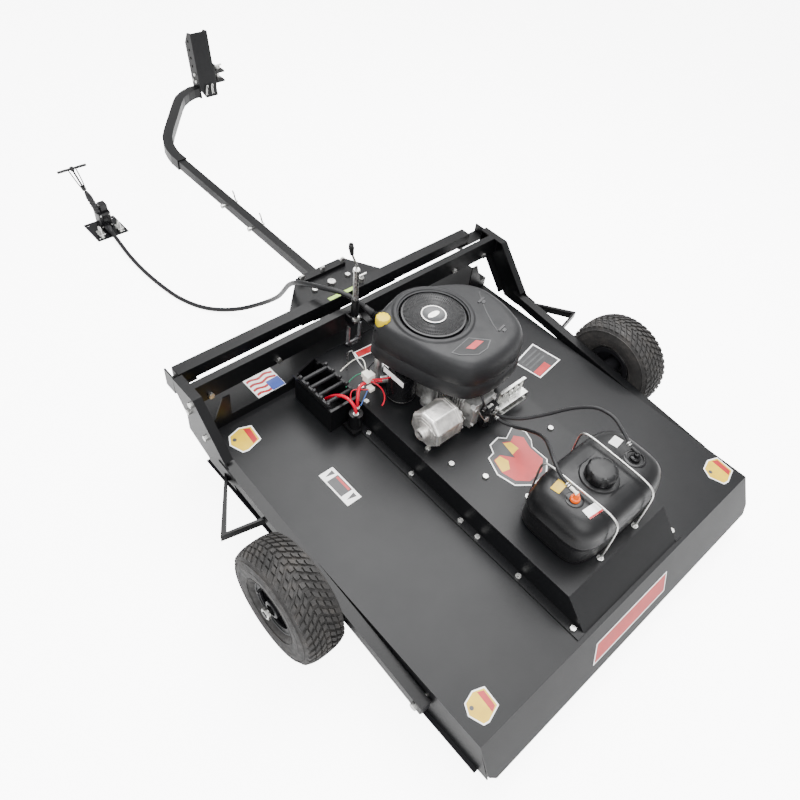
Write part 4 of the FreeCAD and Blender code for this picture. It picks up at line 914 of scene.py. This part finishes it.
def tank_fittings():
    piece = turned_piece("fuel_outlet", "orange", "deck",
                         [(0.1, 0), (13, 0), (13.5, 3), (12, 8), (8, 9), (7, 18), (5.5, 24), (0.1, 24)],
                         (OUTLET_X, OUTLET_Y, TANK_TOP), steps=40, closed=False, smooth=50)
    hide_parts("tank_fittings")
    turned_piece("fuel_outlet_nipple", "white", "deck",
                 [(2, 0), (6, 0), (6, 4), (4.4, 5), (4.4, 24), (2, 24)],
                 (OUTLET_X, OUTLET_Y, TANK_TOP + 24), (0, 0.992, 0.124), 24, smooth=50)
    dish = Shape()
    dish.turned([(14, 0.2), (24, 0.2), (24, 2.2), (22, 3), (14, 3)], (OUTLET_X, OUTLET_Y, TANK_TOP - 2),
                steps=48)
    dish.turned([(0.1, 0), (15, 0), (15, 7), (12, 9), (9, 10), (8, 20), (5, 22), (0.1, 22)],
                (VENT_X, VENT_Y, TANK_TOP), steps=40, closed=False)
    dish.turned([(2, 0), (6, 0), (6, 4), (4.4, 5), (4.4, 22), (2, 22)], (VENT_X, VENT_Y, TANK_TOP + 22),
                (0, 0.995, 0.09), 24)
    dish.turned([(24, 0), (30, 0), (30, 3), (26, 4.4), (24, 4.4)], (VENT_X, VENT_Y, TANK_TOP - 2), steps=48)
    dish.piece("vent_valve", "black", "deck", "hose_rubber", smooth=50)
    clips = Shape()
    for spot, axis in (((-82, 254, 266.9), (0, 0.97, 0.25)), ((150, 234, 267.3), (0.15, 0.95, 0.3)),
                       ((52, 586, 119.8), (0, -1, -0.07)), ((36, 586, 150.5), (0, -1, 0.14))):
        clips.turned([(5.2, 0), (6.6, 0), (6.6, 3), (5.2, 3)], spot, axis, 28)
        clips.turned([(5.2, 6), (6.6, 6), (6.6, 9), (5.2, 9)], spot, axis, 28)
    clips.piece("hose_clips", "zinc", "deck", smooth=40)


def tank_labels():
    def on_top(u, v, w):
        """The crown of the tank falls away toward its ends and sides."""
        across, along = max(0.0, abs(u - TANK_X) - 84) / 84, max(0.0, abs(v - TANK_Y) - 30) / 52
        return (u, v, TANK_TOP - 3.4 * across ** 2 - 3.2 * along ** 2 + w)
    label("tank_label_yellow", [(-100, 262), (-62, 266), (-65, 292), (-103, 288)], "film_yellow", 1.2,
          place=on_top)
    label("tank_label_pale", [(-96, 166), (-46, 160), (-43, 188), (-93, 194)], "film_white", 1.2,
          place=on_top)
    label("tank_label_pale_edge", [(-96, 166), (-46, 160), (-45.4, 165), (-95.4, 171)], "film_red", 1.6,
          place=on_top)
    label("tank_label_white", [(140, 258), (176, 262), (172, 288), (136, 284)], "film_white", 1.2,
          place=on_top)


fuel_tank()
fuel_cap()
tank_straps()
tank_fittings()
tank_labels()


# ------------------------------------------------------------------ printed shapes, with no lettering

def turned_outline(points, cx, cy, degrees, scale=1.0):
    turn = math.radians(degrees)
    c, s = math.cos(turn), math.sin(turn)
    return [(cx + (x * c - y * s) * scale, cy + (x * s + y * c) * scale) for x, y in points]


SHIELD = [(-46, 4), (-30, 34), (10, 44), (46, 30), (40, -30), (-12, -44), (-30, -40)]


def shield_label(name, cx, cy, size=1.0):
    stripe = [(14, -34), (34, -27), (40, 26), (20, 36)]
    for part, outline, shrink, look, lift in (
            ("border", SHIELD, 1.0, "film_white", 0.5), ("field", SHIELD, 0.9, "film_yellow", 0.75),
            ("stripe", stripe, 0.9, "film_red", 1.0), ("dot", circle(-26, 14, 7, 16), 0.9, "film_grey", 1.0)):
        label(name + "_" + part, turned_outline(outline, cx, cy, 0, shrink * size), look, lift)


def deck_labels():
    shield_label("label_front_left", -518, 1039)
    shield_label("label_rear_left", -530, 62, 0.86)
    shield_label("label_rear_right", 544, 68)
    marks = [[(place + u, v) for u, v in ((-7, -16), (0, 14), (8, -16))] for place in (-48, 49)]
    for name, outline, look, lift in (
            ("strip", [(-65, -25), (65, -25), (65, 25), (-65, 25)], "film_white", 0.5),
            ("strip_middle", [(-30, -20), (34, -20), (34, 20), (-30, 20)], "film_black", 0.8),
            ("strip_red", [(-26, -17), (30, -17), (30, -9), (-26, -9)], "film_red", 1.1),
            ("strip_mark_0", marks[0], "film_black", 0.8), ("strip_mark_1", marks[1], "film_black", 0.8)):
        label("label_" + name, turned_outline(outline, -402, 737, 90), look, lift)
    label("label_right_front", [(378, 765), (396, 664), (520, 679), (502, 790)], "film_white", 0.5)
    label("label_right_front_dark", [(384, 761), (399, 669), (514, 683), (497, 784)], "film_black", 0.8)
    label("label_right_front_red", [(396, 696), (400, 671), (470, 680), (466, 706)], "film_red", 1.1)
    for k in range(3):
        row = 712 + 17 * k
        label("label_right_bar_%d" % k, [(398, row), (399, row + 6), (488, row + 18), (489, row + 12)],
              "film_grey", 1.1)
    outer = [(-92, 10), (-62, 62), (-38, 62), (-20, 86), (20, 86), (36, 66), (86, 78), (100, 40), (84, 8),
             (64, -8), (56, -66), (10, -92), (-52, -84), (-88, -48)]
    inner = [(-78, 4), (-58, 46), (-30, 44), (-6, 6), (14, 66), (34, 50), (60, 56), (76, 30), (56, -6),
             (48, -56), (8, -78), (-46, -72), (-74, -40)]
    for name, outline, size, look, lift in (
            ("border", outer, 1.0, "film_white", 0.5), ("black", outer, 0.955, "film_black", 0.75),
            ("field", inner, 0.98, "film_coral", 1.0),
            ("sun_left", [(-76, 4), (-57, 44), (-34, 42), (-30, 14), (-52, -6)], 0.98, "film_yellow", 1.25),
            ("sun_right", [(-2, 18), (13, 62), (32, 48), (30, 18)], 0.98, "film_yellow", 1.25)):
        label("badge_" + name, turned_outline(outline, 20, 458, 8, size), look, lift, z=PLATFORM_TOP)
    panel = [(-50, -45), (50, -45), (50, 45), (-50, 45)]
    px, py = -360, 1163
    label("panel_ground", turned_outline(panel, px, py, 0), "film_white", 0.5, z=APRON_TOP)
    for k in range(4):
        wave = [(-46 + 7.6 * i, -38 + 20 * k + 3.5 * math.sin(0.9 * i)) for i in range(13)]
        band = wave + [(x, y + 9) for x, y in reversed(wave)]
        label("panel_band_%d" % k, turned_outline(band, px, py, 0), "film_red", 0.8, z=APRON_TOP)
    label("panel_corner", turned_outline([(4, -44), (49, -44), (49, -2), (4, -2)], px, py, 0), "film_blue",
          1.1, z=APRON_TOP)
    slope = math.atan2(62, 115)

    def on_skirt(u, v, w):
        """u along the skirt, v down it, w out from it."""
        return (u, -v * math.sin(slope) - w * math.cos(slope), -v * math.cos(slope) + w * math.sin(slope))
    flash = [(-174, 45), (151, 45), (130, 101), (-200, 101)]
    label("skirt_flash_border", flash, "film_white", 0.5, place=on_skirt)
    inside = [(-171, 49), (145, 49), (127, 97), (-193, 97)]
    label("skirt_flash", inside, "film_coral", 0.8, place=on_skirt)
    shape = Shape()
    shape.prism([(-80, 1196.5), (20, 1196.5), (20, 1210), (-80, 1210)], 200.1, 200.6, flat)
    shape.piece("bar_strip", "film_green", "chassis", smooth=30)


deck_labels()


# ------------------------------------------------------------------ chassis details

def weld(points, radius, name, body="chassis"):
    """A bead of small overlapping scales."""
    shape = Shape()
    for start, end in zip(points, points[1:]):
        start, end = Vector(start), Vector(end)
        steps = max(2, int((end - start).length / (radius * 1.1)))
        for k in range(steps):
            spot = start.lerp(end, (k + 0.5) / steps)
            size = radius * random.uniform(0.85, 1.1)
            shape.turned([(0.05, -size), (size * 0.72, -size * 0.7), (size, 0), (size * 0.72, size * 0.7),
                          (0.05, size)], spot, (end - start).normalized(), 10, closed=False)
    shape.piece(name, "frame", body, smooth=60)


def chassis_details():
    for side, name in ((-1, "left"), (1, "right")):
        inner = side * 627
        weld([(inner - side * 1, 1124, 196), (inner - side * 1, 1124, 136)], 2.6, name + "_bar_weld")
        weld([(side * 632.6, 905, 42.8), (side * 632.6, 984, 50.6)], 2.4, name + "_rail_weld")
        weld([(side * 638.2, 537, -20), (side * 638.2, 537, -58)], 2.2, name + "_axle_weld")
        cap = Shape()
        rail_x0, rail_x1 = sorted((side * 601.2, side * 630.8))
        cap.block(rail_x0, 147.5, -62.5, rail_x1, 150.6, -33.5)
        cap.piece(name + "_rail_end_cap", "hose", "chassis", bevel=1.2)
    end = Shape()
    end.block(545, 1195.4, 161.4, 551, 1230.6, 198.6)
    end.block(-612.5, 1195.4, 161.4, -608, 1230.6, 198.6)
    end.piece("bar_end_caps", "hose", "chassis", bevel=1.4)
    weld([(-191, 1233, 160.5), (197, 1233, 160.5)], 2.6, "hitch_plate_weld")


LEVER_BASE, LEVER_LEAN_X, LEVER_LEAN_Y = 184, 0.05, 0.024


def lever_at(z):
    """A point on the lever's leaning axis."""
    return (-61 - (z - LEVER_BASE) * LEVER_LEAN_X, 1100 - (z - LEVER_BASE) * LEVER_LEAN_Y, z)


def lever_details():
    knee, top = Vector((-94, 1093, 449)), Vector((-101, 1092, 486))
    along = (top - knee).normalized()
    rod = tube_piece("lever_release_rod",
                     [lever_at(300), lever_at(392), lever_at(400),
                      tuple(knee.lerp(Vector(lever_at(400)), 0.5)), tuple(knee), tuple(knee + along * 12)],
                     3.4, "zinc", "lever_release")
    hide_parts("lever_grip")
    grip = Shape()

    def fork(radius, height, turn):
        if height < 26 or radius < 2:
            return radius
        return radius * (0.62 + 0.38 * abs(math.cos(turn)) ** 0.7)
    grip.turned([(3.5, 2), (5.6, 0), (6.2, 4), (6.8, 14), (8.4, 24), (9.2, 30), (8.8, 36), (6.4, 38),
                 (3.4, 37), (3.2, 28)], knee, along, 40, wobble=fork)
    grip.turned([(0.1, 26), (3.3, 26), (3.3, 29), (0.1, 29)], knee, along, 30, closed=False)
    grip.piece("lever_knob", "grip", "lever_release", smooth=50)
    axis = (-LEVER_LEAN_X, -LEVER_LEAN_Y, 1)
    socket = Shape()
    socket.turned([(11.05, 0), (12.2, 0), (12.2, 60), (11.05, 61)], lever_at(203), axis, 36)
    socket.turned([(9.1, 0), (11.6, 0), (11.6, 4), (9.1, 4)], lever_at(264.2), axis, 36)
    socket.piece("lever_socket", "frame", "lever", smooth=50)
    turned_piece("lever_collar", "zinc", "lever", [(9.1, 0), (10.8, 0), (10.8, 8), (9.1, 9)], lever_at(376),
                 axis, 36, smooth=50)


def hairpin(name, spot, along, across, body, size=1.0):
    """A spring clip: a straight leg, a coil eye and a waved leg."""
    spot, along, across = Vector(spot), Vector(along).normalized(), Vector(across).normalized()
    route = [(-4, 0), (34, 0), (46, 2), (50, 9), (44, 14), (36, 10), (28, 5), (18, 11), (8, 4), (-4, 10)]
    points = [tuple(spot + along * (u * size) + across * (v * size)) for u, v in route]
    tube_piece(name, points, 1.9 * size, "zinc", body)


SLEEVE_PIN_YS = (1733, 1905)
POST_CLIP_Y, POST_CLIP_Z = 2689, 122


def towing_details():
    for index, y in enumerate(SLEEVE_PIN_YS):
        hairpin("sleeve_clip_%d" % index, (38, y, 128.5), (0, 0.35, 0.94), (0, 1, -0.3), "sleeve_pins", 0.8)
        turned_piece("sleeve_pin_washer_%d" % index, "zinc", "sleeve_pins",
                     [(5.2, -1.2), (8.6, -1.2), (8.6, 1.2), (5.2, 1.2)], (-20.5, y, 128.5), (1, 0, 0), 28)
    hairpin("tow_clip_low", (492, 2738, 144), (1, 0.2, 0), (0.2, 1, 0), "tow_pin", 0.7)
    hairpin("post_clip_left", (398, POST_CLIP_Y, POST_CLIP_Z), (0.1, 0, 1), (1, 0, 0), "tongue", 0.8)
    hairpin("post_clip_right", (430, POST_CLIP_Y, POST_CLIP_Z), (-0.1, 0, 1), (1, 0, 0.2), "tongue", 0.8)
    bolts = Shape()
    for z in (166, 220):
        bolts.hexagon((467.1, 2738, z), (1, 0, 0), 15, 7)
    for y, z in ((2722, 172), (2744, 172), (2730, 200)):
        bolts.hexagon((375.9, y, z), (-1, 0, 0), 13, 6)
    bolts.piece("post_bolts", "zinc", "tongue", smooth=30)
    weld([(374.6, 2703, 148.4), (374.6, 2741, 148.4)], 2.4, "post_weld", "tongue")
    lip = Shape()
    for z0, z1 in ((108.2, 109.1), (147.9, 148.8)):
        lip.block(-12.3, 2230.5, z0, 28.3, 2237, z1)
    lip.piece("sleeve_lip", "frame", "tongue", bevel=0.3)


PULL_FOOT, PULL_AXIS = Vector((-276, 2468, -118)), Vector((-0.2190, 0.2190, 0.9508))
PULL_LENGTH = 199


def control_details():
    low = GROUND + 5
    x, y = -264, 2455
    top = PULL_FOOT + PULL_AXIS * PULL_LENGTH
    bar = Shape()
    bar.turned([(0.1, -57.5), (4.4, -57.5), (5.2, -55), (5.2, -22), (4.7, -18), (4.7, 18), (5.2, 22),
                (5.2, 55), (4.4, 57.5), (0.1, 57.5)], top, (1, 0, 0), 36, closed=False)
    bar.turned([(0.1, -9), (7, -9), (8, -4), (8, 4), (7, 7), (0.1, 7)], top, PULL_AXIS, 30, closed=False)
    grip = bar.piece("pull_t_handle", "grip", "handle", smooth=50)
    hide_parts("pull_handle")
    stem = Shape()
    stem.turned([(0.1, 74), (3.9, 74), (3.9, 192), (0.1, 192)], PULL_FOOT, PULL_AXIS, 30, closed=False)
    stem.turned([(4, 104), (8.5, 104), (9, 108), (9, 118), (8.5, 122), (4, 122)], PULL_FOOT, PULL_AXIS, 36)
    stem.piece("pull_stem", "black", "handle", "grip_black", smooth=50)
    for index, side in enumerate((-1, 1)):
        route = [PULL_FOOT + PULL_AXIS * along + Vector((side * out, 0, 0))
                 for along, out in ((112, 6), (134, 11), (170, 13))] + [top + Vector((side * 15, 0, -3))]
        tube_piece("pull_yoke_%d" % index, [tuple(p) for p in route], 2.6, "hose", "handle", "grip_black")
    sleeve = Shape()
    sleeve.turned([(4.4, 66), (12, 66), (12.4, 70), (9.6, 84), (7.2, 96), (4.4, 98)], PULL_FOOT, PULL_AXIS,
                  36)
    for along in (0, 14, 28, 42, 56):
        sleeve.turned([(11.1, along), (12.6, along + 2), (12.6, along + 6), (11.1, along + 8)], PULL_FOOT,
                      PULL_AXIS, 36)
    sleeve.piece("pull_sleeve", "hose", "chassis", smooth=50)
    bolts = Shape()
    for cx in (x - 40, x + 40):
        for cy in (y - 52, y - 26):
            bolts.turned([(4.2, 0), (10, 0), (10, 2), (4.2, 2)], (cx, cy, low), steps=28)
            bolts.hexagon((cx, cy, low + 2), (0, 0, 1), 12, 6)
    for bx, bz in ((-278, 12), (-240, 12), (-240, 64), (-278, 66)):
        bolts.hexagon((bx, y - 8, low + bz), (0, -1, 0), 7, 3)
    bolts.piece("control_fasteners", "zinc", "chassis", smooth=30)
    for index, cx in enumerate((x - 40, x + 40)):
        route = [(cx, y - 52, low), (cx, y - 52, low + 30), (cx, y - 48, low + 40), (cx, y - 39, low + 43),
                 (cx, y - 30, low + 40), (cx, y - 26, low + 30), (cx, y - 26, low)]
        tube_piece("u_bolt_%d" % index, route, 3.4, "zinc", "chassis")
    clamp = Shape()
    clamp.block(x - 52, y - 58, low + 12, x - 28, y - 20, low + 16)
    clamp.block(x + 28, y - 58, low + 12, x + 52, y - 20, low + 16)
    clamp.piece("u_bolt_saddles", "zinc", "chassis", bevel=0.8)
    spring = []
    for k in range(61):
        turn = math.tau * k / 10
        spring.append((x + 22 + 6 * math.cos(turn), 2503 + 6 * math.sin(turn), low + 14 + 0.9 * k))
    tube_piece("return_spring", spring, 1.3, "zinc", "chassis")
    for index, dx in enumerate((-12, 8)):
        route = [(x + dx, y + 43, low + 30), (x + dx, y + 56, low + 50), (x + dx, y + 52, low + 84),
                 (x + dx * 0.6, y + 34, low + 98)]
        tube_piece("control_lead_%d" % index, route, 2.4, "cable", "chassis")


def gland_details():
    end = Vector(CABLE_POINTS[-1])
    along = (end - Vector(CABLE_POINTS[-2])).normalized()
    boot = Shape()
    boot.turned([(8.1, -26), (9.6, -24), (10.6, -8), (12.5, 0), (12.5, 5), (8.1, 5)], end, along, 36)
    start = Vector(CABLE_POINTS[0])
    away = (Vector(CABLE_POINTS[1]) - start).normalized()
    boot.turned([(8.1, 28), (9.4, 26), (10.6, 8), (13.0, 0), (13.0, -6), (8.1, -6)], start, away, 36)
    boot.piece("cable_boots", "hose", "chassis", smooth=50)


chassis_details()
lever_details()
towing_details()
control_details()
gland_details()
dress_frame()


# ------------------------------------------------------------------ floor and light

def studio():
    mesh = bpy.data.meshes.new("floor")
    half = 60.0
    mesh.from_pydata([(-half, -half, 0), (half, -half, 0), (half, half, 0), (-half, half, 0)], [],
                     [(0, 1, 2, 3)])
    floor = bpy.data.objects.new("floor", mesh)
    bpy.context.collection.objects.link(floor)
    paper = Nodes("floor_paper", (0.95, 0.95, 0.95), 0.8)
    paper.link(paper.ramp(paper.noise(0.6, 2), [(0.3, (0.94, 0.94, 0.94)), (0.7, (0.96, 0.96, 0.96))]),
               paper.shader.inputs["Base Color"])
    paper.shader.inputs["Emission Color"].default_value = (1.0, 1.0, 1.0, 1)
    seen = paper.tree.nodes.new("ShaderNodeLightPath").outputs["Is Camera Ray"]
    paper.link(paper.spread(seen, 0.3, 7.0, 0.0, 1.0), paper.shader.inputs["Emission Strength"])
    mesh.materials.append(paper.material)
    world = bpy.data.worlds.new("studio")
    bpy.context.scene.world = world
    world.use_nodes = True
    world.node_tree.nodes["Background"].inputs["Color"].default_value = (1.0, 1.0, 1.0, 1)
    tree = world.node_tree
    seen = tree.nodes.new("ShaderNodeLightPath").outputs["Is Camera Ray"]
    strength = tree.nodes.new("ShaderNodeMapRange")
    strength.inputs["To Min"].default_value = 1.0
    strength.inputs["To Max"].default_value = 7.5
    tree.links.new(seen, strength.inputs["Value"])
    tree.links.new(strength.outputs["Result"], tree.nodes["Background"].inputs["Strength"])
    for name, spot, aim, size, power in (
            ("key", (-1.9, -2.6, 3.4), (-0.2, -1.0, 0.2), 3.2, 210),
            ("sky", (0.3, 1.6, 4.2), (0, -0.4, 0), 3.6, 90),
            ("sheen", (1.0, -0.1, 3.1), (-0.4, -1.1, 0.2), 2.8, 240)):
        data = bpy.data.lights.new(name, "AREA")
        data.size = size
        data.energy = power
        lamp = bpy.data.objects.new(name, data)
        lamp.location = spot
        lamp.rotation_euler = (Vector(aim) - Vector(spot)).to_track_quat("-Z", "Y").to_euler()
        bpy.context.collection.objects.link(lamp)


studio()
